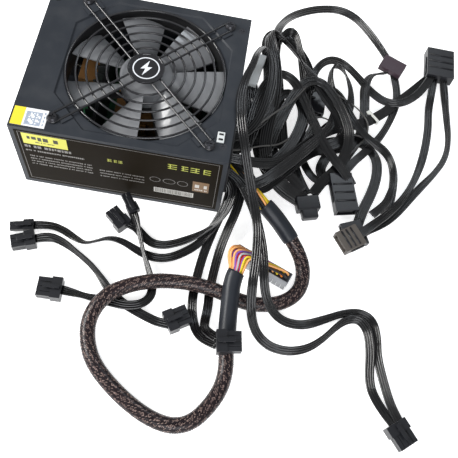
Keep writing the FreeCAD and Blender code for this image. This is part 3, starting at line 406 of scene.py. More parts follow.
def bevel(obj: bpy.types.Object, width: float, segments: int = 2, angle: float = 35.0) -> None:
    """Rounds a piece's sharp edges.

    Args:
        obj: The piece.
        width: The bevel's width in millimetres.
        segments: Its steps.
        angle: The least edge angle that is rounded, in degrees.
    """
    mod = obj.modifiers.new("edge_round", "BEVEL")
    mod.width = width * MM
    mod.segments = segments
    mod.limit_method = "ANGLE"
    mod.angle_limit = math.radians(angle)
    even_out = obj.modifiers.new("even_shading", "WEIGHTED_NORMAL")
    even_out.weight = 80
    even_out.keep_sharp = True


def refine(node: str, finish: Finish, width: float, body: str = UNIT,
           segments: int = 2) -> bpy.types.Object:
    """Replaces a CAD node with a merged copy whose edges are rounded.

    Args:
        node: The CAD node.
        finish: Its finish.
        width: The edge rounding in millimetres.
        body: The body it rides on.
        segments: The rounding's steps.

    Returns:
        The new piece.
    """
    source = bpy.data.objects[node].data
    bm = bmesh.new()
    bm.from_mesh(source)
    bmesh.ops.remove_doubles(bm, verts=bm.verts, dist=1e-6)
    bmesh.ops.dissolve_limit(bm, angle_limit=math.radians(0.8), verts=bm.verts, edges=bm.edges)
    piece = piece_from(node + "_body", bm, body, [finish], [node])
    bevel(piece, width, segments)
    return piece


def dress(node: str, finish: Finish) -> None:
    """Gives a CAD node that stays a finish of its own."""
    mesh = bpy.data.objects[node].data
    mesh.materials.clear()
    mesh.materials.append(finish.material())


# ------------------------------------------------------------------ leads
def nurbs_line(name: str, points: Sequence[Point]) -> list[Vector]:
    """Reads the smooth line of a route.

    Args:
        name: The route's name.
        points: Its points in millimetres.

    Returns:
        Points along the line, in metres.
    """
    data = bpy.data.curves.new(name + "_route", "CURVE")
    data.dimensions = "3D"
    spline = data.splines.new("NURBS")
    spline.points.add(len(points) - 1)
    for spot, at in zip(spline.points, points):
        spot.co = (at[0] * MM, at[1] * MM, at[2] * MM, 1.0)
    spline.order_u = 3
    spline.use_endpoint_u = True
    spline.resolution_u = 10
    obj = bpy.data.objects.new(name + "_route", data)
    bpy.context.scene.collection.objects.link(obj)
    bpy.context.view_layer.update()
    mesh = bpy.data.meshes.new_from_object(obj.evaluated_get(bpy.context.evaluated_depsgraph_get()))
    line = [v.co.copy() for v in mesh.vertices]
    bpy.data.objects.remove(obj)
    bpy.data.meshes.remove(mesh)
    bpy.data.curves.remove(data)
    return line


def length_of(line: Sequence[Vector]) -> float:
    """The length of a line, in metres."""
    return sum((b - a).length for a, b in zip(line, line[1:]))


def even(line: Sequence[Vector], step: float) -> list[Vector]:
    """Spaces a line's points evenly.

    Args:
        line: The line.
        step: The wanted spacing in metres.

    Returns:
        The same line at even spacing.
    """
    total = length_of(line)
    count = max(2, round(total / step))
    out = [line[0].copy()]
    gone = 0.0
    want = total / count
    for a, b in zip(line, line[1:]):
        span = (b - a).length
        while span > 0 and gone + span >= want * len(out) - 1e-12 and len(out) < count:
            out.append(a.lerp(b, (want * len(out) - gone) / span))
        gone += span
    out.append(line[-1].copy())
    return out


def level_frames(line: Sequence[Vector], rolls: Sequence[float] = ()) -> list[Frame]:
    """Frames along a line whose side axis stays level, then rolled.

    Args:
        line: The line.
        rolls: Roll angles in degrees, spread evenly along it.

    Returns:
        (forward, side, up) at each point.
    """
    frames = []
    side = Vector((1.0, 0.0, 0.0))
    for i in range(len(line)):
        ahead = (line[min(i + 1, len(line) - 1)] - line[max(i - 1, 0)]).normalized()
        level = Vector((0, 0, 1)).cross(ahead)
        if level.length > 0.25:
            level.normalize()
            side = level if i == 0 or level.dot(side) > -0.2 else -level
        side = (side - ahead * side.dot(ahead)).normalized()
        frames.append((ahead, side.copy(), ahead.cross(side)))
    if rolls:
        turned = []
        for i, (ahead, side, up) in enumerate(frames):
            at = i / max(1, len(frames) - 1) * (len(rolls) - 1)
            low = min(int(at), len(rolls) - 2)
            mix = at - low
            mix = mix * mix * (3 - 2 * mix)
            angle = math.radians(rolls[low] * (1 - mix) + rolls[low + 1] * mix)
            turned.append((ahead, side * math.cos(angle) + up * math.sin(angle),
                           up * math.cos(angle) - side * math.sin(angle)))
        return turned
    return frames


def add_skin(bm: bmesh.types.BMesh, rings: Sequence[Sequence[Vector]], index: int = 0) -> None:
    """Joins rings of points into a tube with closed ends.

    Args:
        bm: The bmesh.
        rings: The rings, in order.
        index: The material slot.
    """
    rows = [[bm.verts.new(p) for p in ring] for ring in rings]
    around = len(rows[0])
    for one, two in zip(rows, rows[1:]):
        for k in range(around):
            face = bm.faces.new((one[k], one[(k + 1) % around], two[(k + 1) % around], two[k]))
            face.material_index = index
    for row in (list(reversed(rows[0])), rows[-1]):
        bm.faces.new(row).material_index = index


def ring_at(at: Vector, side: Vector, up: Vector, radius: float, count: int,
            swell: Callable[[float], float] = lambda angle: 1.0) -> list[Vector]:
    """A ring of points round a point.

    Args:
        at: The middle.
        side: One axis.
        up: The other axis.
        radius: The ring's radius in metres.
        count: How many points.
        swell: The factor on the radius at an angle.

    Returns:
        The points.
    """
    ring = []
    for k in range(count):
        angle = 2 * math.pi * k / count
        reach = radius * swell(angle)
        ring.append(at + side * (reach * math.cos(angle)) + up * (reach * math.sin(angle)))
    return ring


def add_tube(bm: bmesh.types.BMesh, line: Sequence[Vector], radius: float, count: int,
             index: int) -> None:
    """Adds a round tube along a line.

    Args:
        bm: The bmesh.
        line: The middle line in metres.
        radius: The radius in metres.
        count: Points round it.
        index: The material slot.
    """
    add_skin(bm, [ring_at(p, s, u, radius, count) for p, (_, s, u) in zip(line, level_frames(line))], index)


@dataclass
class Ribbon:
    """A flat lead of side-by-side wires along one route, with its wires in millimetres."""

    node: str
    points: Sequence[Point]
    wires: int = 4
    pitch: float = 1.96
    wire: float = 2.04
    rolls: Sequence[float] = ()
    plugs: Sequence[str] = ()
    far_end: str = "connector"
    stiffness: str = "medium"
    step: float = 0.0028
    in_cad: bool = True
    finish: Finish = field(default_factory=lambda: Finishes.jacket)

    def section(self, phase: float) -> list[Spot]:
        """The scalloped outline, in millimetres.

        Args:
            phase: Where along the lead, which shifts each wire a little.

        Returns:
            Points (across, up) round the outline.
        """
        radius = self.wire / 2
        top, low = [], []
        for k in range(self.wires):
            x = (k - (self.wires - 1) / 2) * self.pitch
            lift = 0.12 * math.sin(phase * (1.3 + 0.37 * k) + 2.1 * k)
            spread = (164, 128, 90, 52, 16)
            first = (180,) if k == 0 else ()
            last = (0,) if k == self.wires - 1 else ()
            for angle in (*first, *spread, *last):
                a = math.radians(angle)
                top.append((x + radius * math.cos(a), lift + radius * math.sin(a)))
            for angle in spread:
                a = math.radians(angle)
                low.append((x + radius * math.cos(a), lift - radius * math.sin(a)))
        return top + low[::-1]

    def build(self) -> bpy.types.Object:
        """Returns:
            The piece.
        """
        line = nurbs_line(self.node, self.points)
        fine = even(line, self.step)
        rings = []
        for i, (at, (_, side, up)) in enumerate(zip(fine, level_frames(fine, self.rolls))):
            ring = [at + side * (a * MM) + up * (b * MM) for a, b in self.section(i * 0.045)]
            sunk = min(0.0, min(p.z for p in ring) - 0.1 * MM)
            rings.append([p - Vector((0, 0, sunk)) for p in ring])
        bm = bmesh.new()
        add_skin(bm, rings)
        bmesh.ops.recalc_face_normals(bm, faces=bm.faces)
        piece = piece_from(self.node + "_ribbon", bm, UNIT, [self.finish],
                           [self.node] if self.in_cad else [])
        return piece


@dataclass
class MainLead:
    """The sleeved main lead: bare wires, two shrink tubes and an open braid over its wires.

    The diameter and strand_half are in millimetres. The ends, tubes and step are in metres along it.
    """

    points: Sequence[Point]
    diameter: float = 13.0
    strands: int = 26
    turns_per_metre: float = 24.0
    bare_end: float = 0.057
    first_tube: Spot = (0.052, 0.090)
    last_tube: float = 0.048
    loose_end: float = 0.030
    tube_reach: float = 0.026
    core_share: float = 0.90
    braid_share: float = 0.965
    strand_half: float = 0.25
    step: float = 0.0013

    def build(self) -> None:
        line = nurbs_line("main_lead", self.points)
        fine = even(line, self.step)
        frames = level_frames(fine)
        step = length_of(fine) / (len(fine) - 1)
        first = int(self.bare_end / step)
        last = len(fine) - int(self.loose_end / step)
        bm = bmesh.new()
        core = self.diameter / 2 * MM * self.core_share
        rings = []
        for i in range(first, last):
            _, side, up = frames[i]
            rings.append(ring_at(fine[i], side, up, core, 24,
                                 lambda a, i=i: 1 + 0.035 * math.cos(7 * a + i * 0.05)))
        add_skin(bm, rings, 0)
        self.add_strands(bm, fine, frames, first, last, step)
        self.add_bare_wires(bm, fine, frames, first + 4)
        sleeve = piece_from("main_sleeve", bm, UNIT,
                            [Finishes.core, Finishes.strand, Finishes.strand_painted_glint, Finishes.wires["black"],
                             Finishes.wires["yellow"], Finishes.wires["orange"]],
                            ["cord_main"])
        for node, low, high in (("shrink_case_end", self.first_tube[0], self.first_tube[1]),
                                ("shrink_plug_end", length_of(fine) - self.loose_end - self.last_tube,
                                 length_of(fine) - self.tube_reach)):
            self.add_shrink(node, fine[int(low / step):int(high / step)])
        end = fine[last - 1]
        fan = self.add_fan_out(end, frames[last - 1])

    def add_strands(self, bm: bmesh.types.BMesh, fine: Sequence[Vector], frames: Sequence[Frame],
                    first: int, last: int, step: float) -> None:
        """Winds the braid's flat strands both ways round the wires, with painted highlight dots on some of
        their faces.

        Args:
            bm: The bmesh.
            fine: The lead's line.
            frames: Its frames.
            first: Where the braid starts.
            last: Where it ends.
            step: The line's spacing.
        """
        radius = self.diameter / 2 * MM * self.braid_share
        half = self.strand_half * MM
        for way in (1, -1):
            for k in range(self.strands):
                rows = []
                for i in range(first, last):
                    turn = (way * 2 * math.pi * self.turns_per_metre * step * i
                            + 2 * math.pi * k / self.strands)
                    ahead, side, up = frames[i]
                    over = 1 + 0.02 * math.sin(self.strands * 2 * math.pi * self.turns_per_metre * step * i
                                               + (0 if way > 0 else math.pi) + math.pi * k)
                    out = side * math.cos(turn) + up * math.sin(turn)
                    around = up * math.cos(turn) - side * math.sin(turn)
                    slope = way * 2 * math.pi * self.turns_per_metre * radius
                    across = (around - ahead * slope).normalized()
                    at = fine[i] + out * (radius * over)
                    rows.append((bm.verts.new(at - across * half), bm.verts.new(at + across * half)))
                for n, (one, two) in enumerate(zip(rows, rows[1:])):
                    order = (one[0], one[1], two[1], two[0])
                    if way > 0:
                        order = (one[1], one[0], two[0], two[1])
                    # Some faces take the glint finish, painted highlight dots in place of the braid's
                    # glints.
                    glint = (n + k) % 3 == 0 and (n * 7 + k * 5) % 11 > 3
                    bm.faces.new(order).material_index = 2 if glint else 1

    def add_bare_wires(self, bm: bmesh.types.BMesh, fine: Sequence[Vector], frames: Sequence[Frame],
                       stop: int) -> None:
        """Lays the wires that show between the case and the first tube.

        Args:
            bm: The bmesh.
            fine: The lead's line.
            frames: Its frames.
            stop: Where the wires go out of sight.
        """
        spots = [(0.0, 0.0)] + [(2.1, 60 * k) for k in range(6)] + [(4.2, 30 * k + 10) for k in range(12)]
        for n, (reach, angle) in enumerate(spots):
            line = []
            for i in range(0, stop, 2):
                _, side, up = frames[i]
                loose = 1.0 + 0.18 * math.sin(math.pi * i / stop)
                a = math.radians(angle + 35 + (i - stop) * 3.5)
                line.append(fine[i] + (side * math.cos(a) + up * math.sin(a)) * (reach * loose * MM))
            add_tube(bm, line, 0.98 * MM, 8, 4 if n in (8, 9, 13) else 5 if n == 10 else 3)

    def add_shrink(self, node: str, line: Sequence[Vector]) -> None:
        """Builds one shrink tube, drawn in at its ends and faintly lumpy.

        Args:
            node: The CAD node it stands for.
            line: The stretch it covers.
        """
        radius = (self.diameter / 2 + 0.95) * MM
        rings = []
        for i, (at, (_, side, up)) in enumerate(zip(line, level_frames(line))):
            t = i / (len(line) - 1)
            edge = min(t, 1 - t) * len(line)
            pull = 1 - 0.045 * math.exp(-edge / 1.6)
            rings.append(ring_at(at, side, up, radius * pull, 28, lambda a, t=t: (
                1 + 0.012 * math.sin(5 * a + 3 * t) + 0.01 * math.sin(9 * a - 7 * t))))
        bm = bmesh.new()
        add_skin(bm, rings)
        bmesh.ops.recalc_face_normals(bm, faces=bm.faces)
        piece_from(node + "_tube", bm, UNIT, [Finishes.shrink], [node])

    def add_fan_out(self, end: Vector, frame: Frame) -> bpy.types.Object:
        """Spreads the wires from the last tube into the main plug.

        Args:
            end: Where the tube ends.
            frame: The lead's frame there.

        Returns:
            The wires as one piece.
        """
        names = ["orange", "orange", "orange", "orange", "purple", "pink", "grey", "red",
                 "purple", "yellow", "yellow", "orange", "black", "orange", "purple", "orange",
                 "pink", "red", "purple", "black", "orange", "yellow", "deep_orange", "black"]
        kinds = sorted(set(names))
        bm = bmesh.new()
        ahead, side, up = frame
        if side.x < 0:
            side, up = -side, -up
        along = Vector((math.cos(MAIN_PLUG_YAW), math.sin(MAIN_PLUG_YAW), 0))
        across = Vector((-math.sin(MAIN_PLUG_YAW), math.cos(MAIN_PLUG_YAW), 0))
        middle = Vector(MAIN_PLUG_AT) * MM
        lift = Vector((0, 0, 1))
        for n in range(24):
            column, row = n % 12, n // 12
            target = (middle + along * ((column - 5.5) * PIN_PITCH * MM)
                      + across * ((0.5 - row) * PIN_PITCH * MM))
            lean = (column - 5.5) / 5.5
            rise = 2.0 if row == 0 else -1.6
            start = end + side * (lean * 5.2 * MM) + lift * (rise * MM * (1.2 - abs(lean)))
            high = (30.5 + 2.0 * (1 - row) + 1.4 * math.sin(n * 2.3) + 0.12 * column) * MM
            first = Vector((start.x + lean * 3.6 * MM, start.y + 13 * MM, high - 1.5 * MM))
            crest = Vector((start.x + (2.5 + lean * 4.0) * MM, start.y + (20 - 0.6 * column) * MM, high))
            over = crest.lerp(target, 0.62) + lift * (3.5 * MM)
            over.z = max(over.z, target.z + 7 * MM)
            route = (start - ahead * 5 * MM, start + ahead * 3 * MM, first, crest, over,
                     target + lift * (5 * MM), target - lift * (3 * MM))
            line = nurbs_line(f"fan_wire_{n}", [tuple(p / MM) for p in route])
            add_tube(bm, even(line, 0.002), 0.95 * MM, 8, kinds.index(names[n]))
        return piece_from("main_fan_wires", bm, UNIT, [Finishes.wires[k] for k in kinds])


# ------------------------------------------------------------------ plugs
def contact_tree() -> bpy.types.GeometryNodeTree:
    """Rows of contacts in a plug's mouth.

    Returns:
        A tree with Columns, Rows, Pitch, Long, Wide, Forward and Finish inputs.
    """
    found = bpy.data.node_groups.get("plug_contacts")
    if found:
        return found
    tree = bpy.data.node_groups.new("plug_contacts", "GeometryNodeTree")
    face = tree.interface
    face.new_socket("Geometry", in_out="INPUT", socket_type="NodeSocketGeometry")
    for name, kind, value in (("Columns", "NodeSocketInt", 4), ("Rows", "NodeSocketInt", 2),
                              ("Pitch", "NodeSocketFloat", PIN_PITCH * MM),
                              ("Long", "NodeSocketFloat", 0.007), ("Wide", "NodeSocketFloat", 0.0019),
                              ("Forward", "NodeSocketFloat", 0.014)):
        face.new_socket(name, in_out="INPUT", socket_type=kind).default_value = value
    face.new_socket("Finish", in_out="INPUT", socket_type="NodeSocketMaterial")
    face.new_socket("Geometry", in_out="OUTPUT", socket_type="NodeSocketGeometry")
    nodes, links = tree.nodes, tree.links
    into, out = nodes.new("NodeGroupInput"), nodes.new("NodeGroupOutput")
    spans = []
    for label in ("Columns", "Rows"):
        less = math_node(tree, "SUBTRACT", into.outputs[label], 1.0)
        spans.append(math_node(tree, "MULTIPLY", less, into.outputs["Pitch"]))
    grid = nodes.new("GeometryNodeMeshGrid")
    links.new(spans[0], grid.inputs["Size X"])
    links.new(spans[1], grid.inputs["Size Y"])
    links.new(into.outputs["Columns"], grid.inputs["Vertices X"])
    links.new(into.outputs["Rows"], grid.inputs["Vertices Y"])
    size = nodes.new("ShaderNodeCombineXYZ")
    links.new(into.outputs["Wide"], size.inputs[0])
    links.new(into.outputs["Wide"], size.inputs[1])
    links.new(into.outputs["Long"], size.inputs[2])
    cube = nodes.new("GeometryNodeMeshCube")
    links.new(size.outputs[0], cube.inputs["Size"])
    spread = nodes.new("GeometryNodeInstanceOnPoints")
    links.new(grid.outputs["Mesh"], spread.inputs["Points"])
    links.new(cube.outputs["Mesh"], spread.inputs["Instance"])
    shift = nodes.new("ShaderNodeCombineXYZ")
    links.new(into.outputs["Forward"], shift.inputs[2])
    move = nodes.new("GeometryNodeTransform")
    links.new(spread.outputs["Instances"], move.inputs["Geometry"])
    links.new(shift.outputs[0], move.inputs["Translation"])
    real = nodes.new("GeometryNodeRealizeInstances")
    links.new(move.outputs[0], real.inputs[0])
    paint = nodes.new("GeometryNodeSetMaterial")
    links.new(real.outputs[0], paint.inputs["Geometry"])
    links.new(into.outputs["Finish"], paint.inputs["Material"])
    links.new(paint.outputs[0], out.inputs[0])
    return tree


def run_tree(name: str, tree: bpy.types.GeometryNodeTree, values: dict[str, object]) -> bpy.types.Mesh:
    """Runs a geometry tree once and keeps its mesh.

    Args:
        name: The mesh's name.
        tree: The tree.
        values: Its named inputs.

    Returns:
        The plain mesh.
    """
    holder = bpy.data.objects.new(name + "_maker", bpy.data.meshes.new(name + "_maker"))
    bpy.context.scene.collection.objects.link(holder)
    mod = holder.modifiers.new("maker", "NODES")
    mod.node_group = tree
    names = {item.name: item.identifier for item in tree.interface.items_tree
             if item.item_type == "SOCKET" and item.in_out == "INPUT"}
    for label, value in values.items():
        mod[names[label]] = value
    holder.update_tag()
    bpy.context.view_layer.update()
    ready = holder.evaluated_get(bpy.context.evaluated_depsgraph_get())
    mesh = bpy.data.meshes.new_from_object(ready, preserve_all_data_layers=True,
                                           depsgraph=bpy.context.evaluated_depsgraph_get())
    mesh.name = name
    holder.modifiers.clear()
    bpy.data.objects.remove(holder)
    return mesh


def aim(rear: Point, front: Point) -> Matrix:
    """Lays local +X from a plug's wire side to its mating side.

    Args:
        rear: The wire side in millimetres.
        front: The mating side in millimetres.

    Returns:
        The matrix, in metres.
    """
    way = (Vector(front) - Vector(rear)).normalized()
    side = Vector((0, 0, 1)).cross(way).normalized()
    up = way.cross(side)
    turn = Matrix((way, side, up)).transposed().to_4x4()
    return Matrix.Translation(Vector(rear) * MM) @ turn


@dataclass
class PowerPlug:
    """A plug of square contact ways, dressed from its CAD solid."""

    node: str
    rear: Point
    front: Point
    columns: int
    rows: int

    def build(self) -> None:
        """Rounds the housing and fits its contacts."""
        refine(self.node, Finishes.plug, 0.3)
        mesh = run_tree(self.node + "_contacts", contact_tree(), {
            "Columns": self.columns, "Rows": self.rows, "Finish": Finishes.brass.material()})
        lay = Matrix(((0, 0, 1, 0), (1, 0, 0, 0), (0, 1, 0, 0), (0, 0, 0, 1)))
        mesh.transform(aim(self.rear, self.front) @ lay)
        add_piece(self.node + "_contacts", mesh, UNIT, [Finishes.brass])


# ------------------------------------------------------------------ case and fan
def add_patch(bm: bmesh.types.BMesh, at: Callable[[float, float, float], Vector], low: Spot,
              high: Spot, index: int, lift: float = 0.06) -> None:
    """Adds one thin printed patch.

    Args:
        bm: The bmesh.
        at: Turns (across, up, out) millimetres into a point.
        low: The patch's low corner.
        high: Its high corner.
        index: Its material slot.
        lift: How far it stands off, in millimetres.
    """
    corners = [(low[0], low[1]), (high[0], low[1]), (high[0], high[1]), (low[0], high[1])]
    back = [bm.verts.new(at(a, b, 0.0)) for a, b in corners]
    face = [bm.verts.new(at(a, b, lift)) for a, b in corners]
    bm.faces.new(face).material_index = index
    bm.faces.new(back[::-1]).material_index = index
    for k in range(4):
        side = (back[k], back[(k + 1) % 4], face[(k + 1) % 4], face[k])
        bm.faces.new(side).material_index = index


def on_label(a: float, b: float, out: float) -> Vector:
    """A point on the side label."""
    return Vector((a, LABEL_Y - out, b)) * MM


def on_top(a: float, b: float, out: float) -> Vector:
    """A point on the corner sticker."""
    return Vector((a, b, STICKER_Z + out)) * MM


@dataclass
class Prints:
    """The plain blocks, bars and lines printed on the label and the sticker."""

    def text_rows(self, bm: bmesh.types.BMesh, left: float, right: float, base: float, tall: float,
                  index: int, seed: int, lift: float = 0.12) -> None:
        """A row of short uneven dashes where words would be.

        Args:
            bm: The bmesh.
            left: Where the row starts.
            right: Where it ends.
            base: Its lower edge.
            tall: Its height.
            index: The material slot.
            seed: Which unevenness.
            lift: How far it stands off.
        """
        x = left
        n = seed
        while x < right:
            n = (n * 37 + 11) % 101
            wide = tall * (0.45 + 0.5 * (n % 7) / 7)
            gap = tall * (0.22 if n % 5 else 0.8)
            low = base + (tall * 0.25 if n % 3 == 0 else 0)
            add_patch(bm, on_label, (x, low), (min(x + wide, right), base + tall), index, lift)
            x += wide + gap

    def glyph_row(self, bm: bmesh.types.BMesh, left: float, right: float, base: float, tall: float,
                  count: int, index: int) -> None:
        """A row of square stroked blocks, each of three bars and a post.

        Args:
            bm: The bmesh.
            left: Where the row starts.
            right: Where it ends.
            base: Its lower edge.
            tall: Its height.
            count: How many blocks.
            index: The material slot.
        """
        pitch = (right - left) / count
        stroke = tall * 0.13
        for k in range(count):
            x = left + k * pitch
            wide = pitch * 0.8
            for level in (0.0, 0.42, 0.84):
                short = 0.25 * wide if (k + int(level * 10)) % 2 else 0.0
                add_patch(bm, on_label, (x + short, base + tall * level),
                          (x + wide, base + tall * level + stroke), index)
            post = x + wide * (0.2 + 0.18 * (k % 3))
            add_patch(bm, on_label, (post, base), (post + stroke, base + tall), index, 0.09)

    def build(self) -> None:
        """Builds the label's and the sticker's print."""
        label = bmesh.new()
        add_patch(label, on_label, (-78, 64), (-42, 79), 0)
        self.text_rows(label, -74, -47, 70.2, 5.2, 5, 3)
        self.text_rows(label, -68, -52, 67.0, 1.4, 5, 7)
        self.text_rows(label, -78, -40, 58.6, 3.4, 2, 13, 0.06)
        self.text_rows(label, -78, -30, 53.0, 2.0, 2, 17, 0.06)
        self.glyph_row(label, 39.5, 76.6, 62.4, 7.4, 4, 1)
        self.glyph_row(label, -10.5, 3.0, 57.2, 3.8, 3, 1)
        for row in range(4):
            self.text_rows(label, -76, -24, 45.0 - row * 4.2, 1.6, 2, 21 + row, 0.06)
        for row in range(3):
            self.text_rows(label, -18, 20, 40.0 - row * 4.6, 1.5, 2, 31 + row, 0.06)
        add_patch(label, on_label, (61, 32), (75, 48.5), 4)
        self.text_rows(label, 63, 73.5, 38.6, 5.0, 3, 5)
        self.text_rows(label, 63, 73.5, 34.2, 1.8, 3, 6)
        add_patch(label, on_label, (28, 19.5), (62.5, 27.5), 3)
        x = 29.0
        n = 5
        while x < 61.5:
            n = (n * 29 + 7) % 97
            wide = 0.22 + 0.5 * (n % 4) / 4
            add_patch(label, on_label, (x, 20.3), (x + wide, 26.8), 5, 0.12)
            x += wide + 0.35 + 0.3 * (n % 3) / 3
        for low, high in (((-81, 8.0), (81, 8.35)), ((-81, 79.9), (81, 80.25)),
                          ((-81, 8.0), (-80.65, 80.2)), ((80.65, 8.0), (81, 80.2))):
            add_patch(label, on_label, low, high, 2)
        piece_from("label_print", label, UNIT,
                   [Finishes.label_yellow, Finishes.label_olive, Finishes.label_grey, Finishes.label_white,
                    Finishes.label_brown, Finishes.label_ink], smooth=False)
        self.build_rings()
        self.build_sticker()

    def build_rings(self) -> None:
        """The outlined ovals beside the badge block."""
        bm = bmesh.new()
        count, middle, line = 32, 41, 0.5
        angles = [2 * math.pi * k / count for k in range(count)]
        for x, wide, tall in ((29, 4.6, 4.0), (41, 5.4, 4.0), (52.5, 4.6, 4.2)):
            inner = [(x + (wide - line) * math.cos(a), middle + (tall - line) * math.sin(a))
                     for a in angles]
            outer = [(x + wide * math.cos(a), middle + tall * math.sin(a)) for a in angles]
            one = [bm.verts.new(on_label(*p, 0.06)) for p in inner]
            two = [bm.verts.new(on_label(*p, 0.06)) for p in outer]
            for k in range(count):
                bm.faces.new((one[k], two[k], two[(k + 1) % count], one[(k + 1) % count]))
        face_toward(bm, (0, -1, 0))
        piece_from("label_rings", bm, UNIT, [Finishes.label_grey], smooth=False)

    def build_sticker(self) -> None:
        """The corner sticker's yellow part and its square code."""
        bm = bmesh.new()
        add_patch(bm, on_top, (-86, -73), (-77, -56), 0)
        grid, pitch = 11, 1.15
        for row in range(grid):
            for column in range(grid):
                edge = row in (0, grid - 1) or column in (0, grid - 1)
                eye = (row < 3 or row > grid - 4) and (column < 3 or column > grid - 4)
                if edge or eye or (row * 7 + column * 5 + row * column * 3) % 5 < 2:
                    x = -75.5 + column * pitch
                    y = -71.5 + row * pitch
                    add_patch(bm, on_top, (x, y), (x + 1.0, y + 1.0), 1)
        for k in range(4):
            add_patch(bm, on_top, (-61.5, -71 + k * 3.6), (-60.6, -69 + k * 3.6), 1)
        piece_from("sticker_print", bm, UNIT, [Finishes.sticker_yellow, Finishes.sticker_blue],
                   smooth=False)


@dataclass
class Casing:
    """The folded case, its fittings and what shows inside, in millimetres and degrees."""

    coated: Sequence[str] = ("base_tray", "top_cover")
    black_parts: Sequence[tuple[str, float]] = (("ac_inlet", 0.35), ("switch_bezel", 0.35),
                                                ("cable_grommet", 0.5))
    rocker_axle: Point = (-84.5, 48, 60)
    rocker_reach: float = 3.2
    rocker_slope: float = 12.0

    def build(self) -> None:
        """Dresses the case pieces."""
        for node in self.coated:
            refine(node, Finishes.case, 0.3)
        for node, width in self.black_parts:
            refine(node, Finishes.plastic, width)
        refine("power_rocker", Finishes.plastic, 0.3, ROCKER)
        for node in ("cover_screws", "fan_screws"):
            refine(node, Finishes.screw, 0.12)
        dress("side_label", Finishes.label)
        dress("corner_sticker", Finishes.sticker)
        dress("inlet_pins", Finishes.brass)
        dress("board_standoffs", Finishes.brass)
        refine("circuit_board", Finishes.board, 0.1)
        for node in ("primary_heatsink", "output_heatsink"):
            refine(node, Finishes.aluminium, 0.2)
        for node in ("main_transformer", "line_filter"):
            refine(node, Finishes.tape, 0.8)
        refine("output_choke", Finishes.copper, 2.5, segments=4)
        for node in ("bulk_capacitor", "output_capacitors"):
            refine(node, Finishes.sleeve_can, 0.8, segments=3)
        self.add_rocker_marks()
        self.add_tag()

    def add_rocker_marks(self) -> None:
        """The bar and the ring moulded on the rocker's two halves."""
        bm = bmesh.new()
        count = 24
        low = -4.4
        outlines = []
        for k in range(count):
            a, b = 2 * math.pi * k / count, 2 * math.pi * (k + 1) / count
            outlines.append([(reach * math.cos(turn), low + reach * math.sin(turn))
                             for reach, turn in ((1.5, a), (1.9, a), (1.9, b), (1.5, b))])
        outlines.append([(-0.25, 2.6), (0.25, 2.6), (0.25, 6.2), (-0.25, 6.2)])
        x, y, z = self.rocker_axle
        for outline in outlines:
            corners = []
            for across, up in outline:
                out = self.rocker_reach + abs(up) * math.tan(math.radians(self.rocker_slope)) + 0.05
                corners.append(bm.verts.new(Vector((x - out, y + across, z + up)) * MM))
            bm.faces.new(corners)
        face_toward(bm, (-1, 0, 0))
        piece_from("rocker_marks", bm, ROCKER, [Finishes.label_white], smooth=False)

    def add_tag(self) -> None:
        """The small pale two-slot tag that lies on the cover by the lead end."""
        bm = bmesh.new()
        add_block(bm, (75, -58, 86), (81, -48, 87.6))
        piece = piece_from("cover_tag", bm, UNIT, [Finishes.plug_white, Finishes.plastic])
        bevel(piece, 0.5, 3)
        slots = bmesh.new()
        for y in (-55.4, -50.6):
            add_block(slots, (76.2, y - 0.9, 87.5), (79.8, y + 0.9, 87.7))
        piece_from("cover_tag_slots", slots, UNIT, [Finishes.plastic])


@dataclass
class Fan:
    """The fan, its guard and the guard's badge."""

    middle: Spot = (7.5, 0.0)
    badge_top: float = 89.1

    def build(self) -> None:
        """Dresses the fan's pieces."""
        refine("fan_frame", Finishes.fan_frame, 0.6)
        refine("fan_rotor", Finishes.rotor, 0.4, ROTOR, segments=3)
        dress("fan_shaft", Finishes.brass)
        dress("fan_stator", Finishes.copper)
        dress("fan_guard", Finishes.guard)
        refine("guard_badge", Finishes.badge, 0.4, segments=3)
        self.add_mark()

    def add_mark(self) -> None:
        """A plain ring with a bolt on the badge."""
        bm = bmesh.new()
        x0, y0 = self.middle
        z = self.badge_top + 0.06
        count = 48
        for k in range(count):
            a, b = 2 * math.pi * k / count, 2 * math.pi * (k + 1) / count
            bm.faces.new([bm.verts.new(Vector((x0 + r * math.cos(t), y0 + r * math.sin(t), z)) * MM)
                          for r, t in ((10.2, a), (11.2, a), (11.2, b), (10.2, b))])
        bolt = ((1.6, 8.2), (-4.6, -1.2), (-0.6, -0.6), (-2.2, -8.0), (4.8, 1.8), (0.8, 1.2))
        bm.faces.new([bm.verts.new(Vector((x0 + x, y0 + y, z)) * MM) for x, y in bolt])
        face_toward(bm, (0, 0, 1))
        piece_from("badge_mark", bm, UNIT, [Finishes.badge_mark], smooth=False)


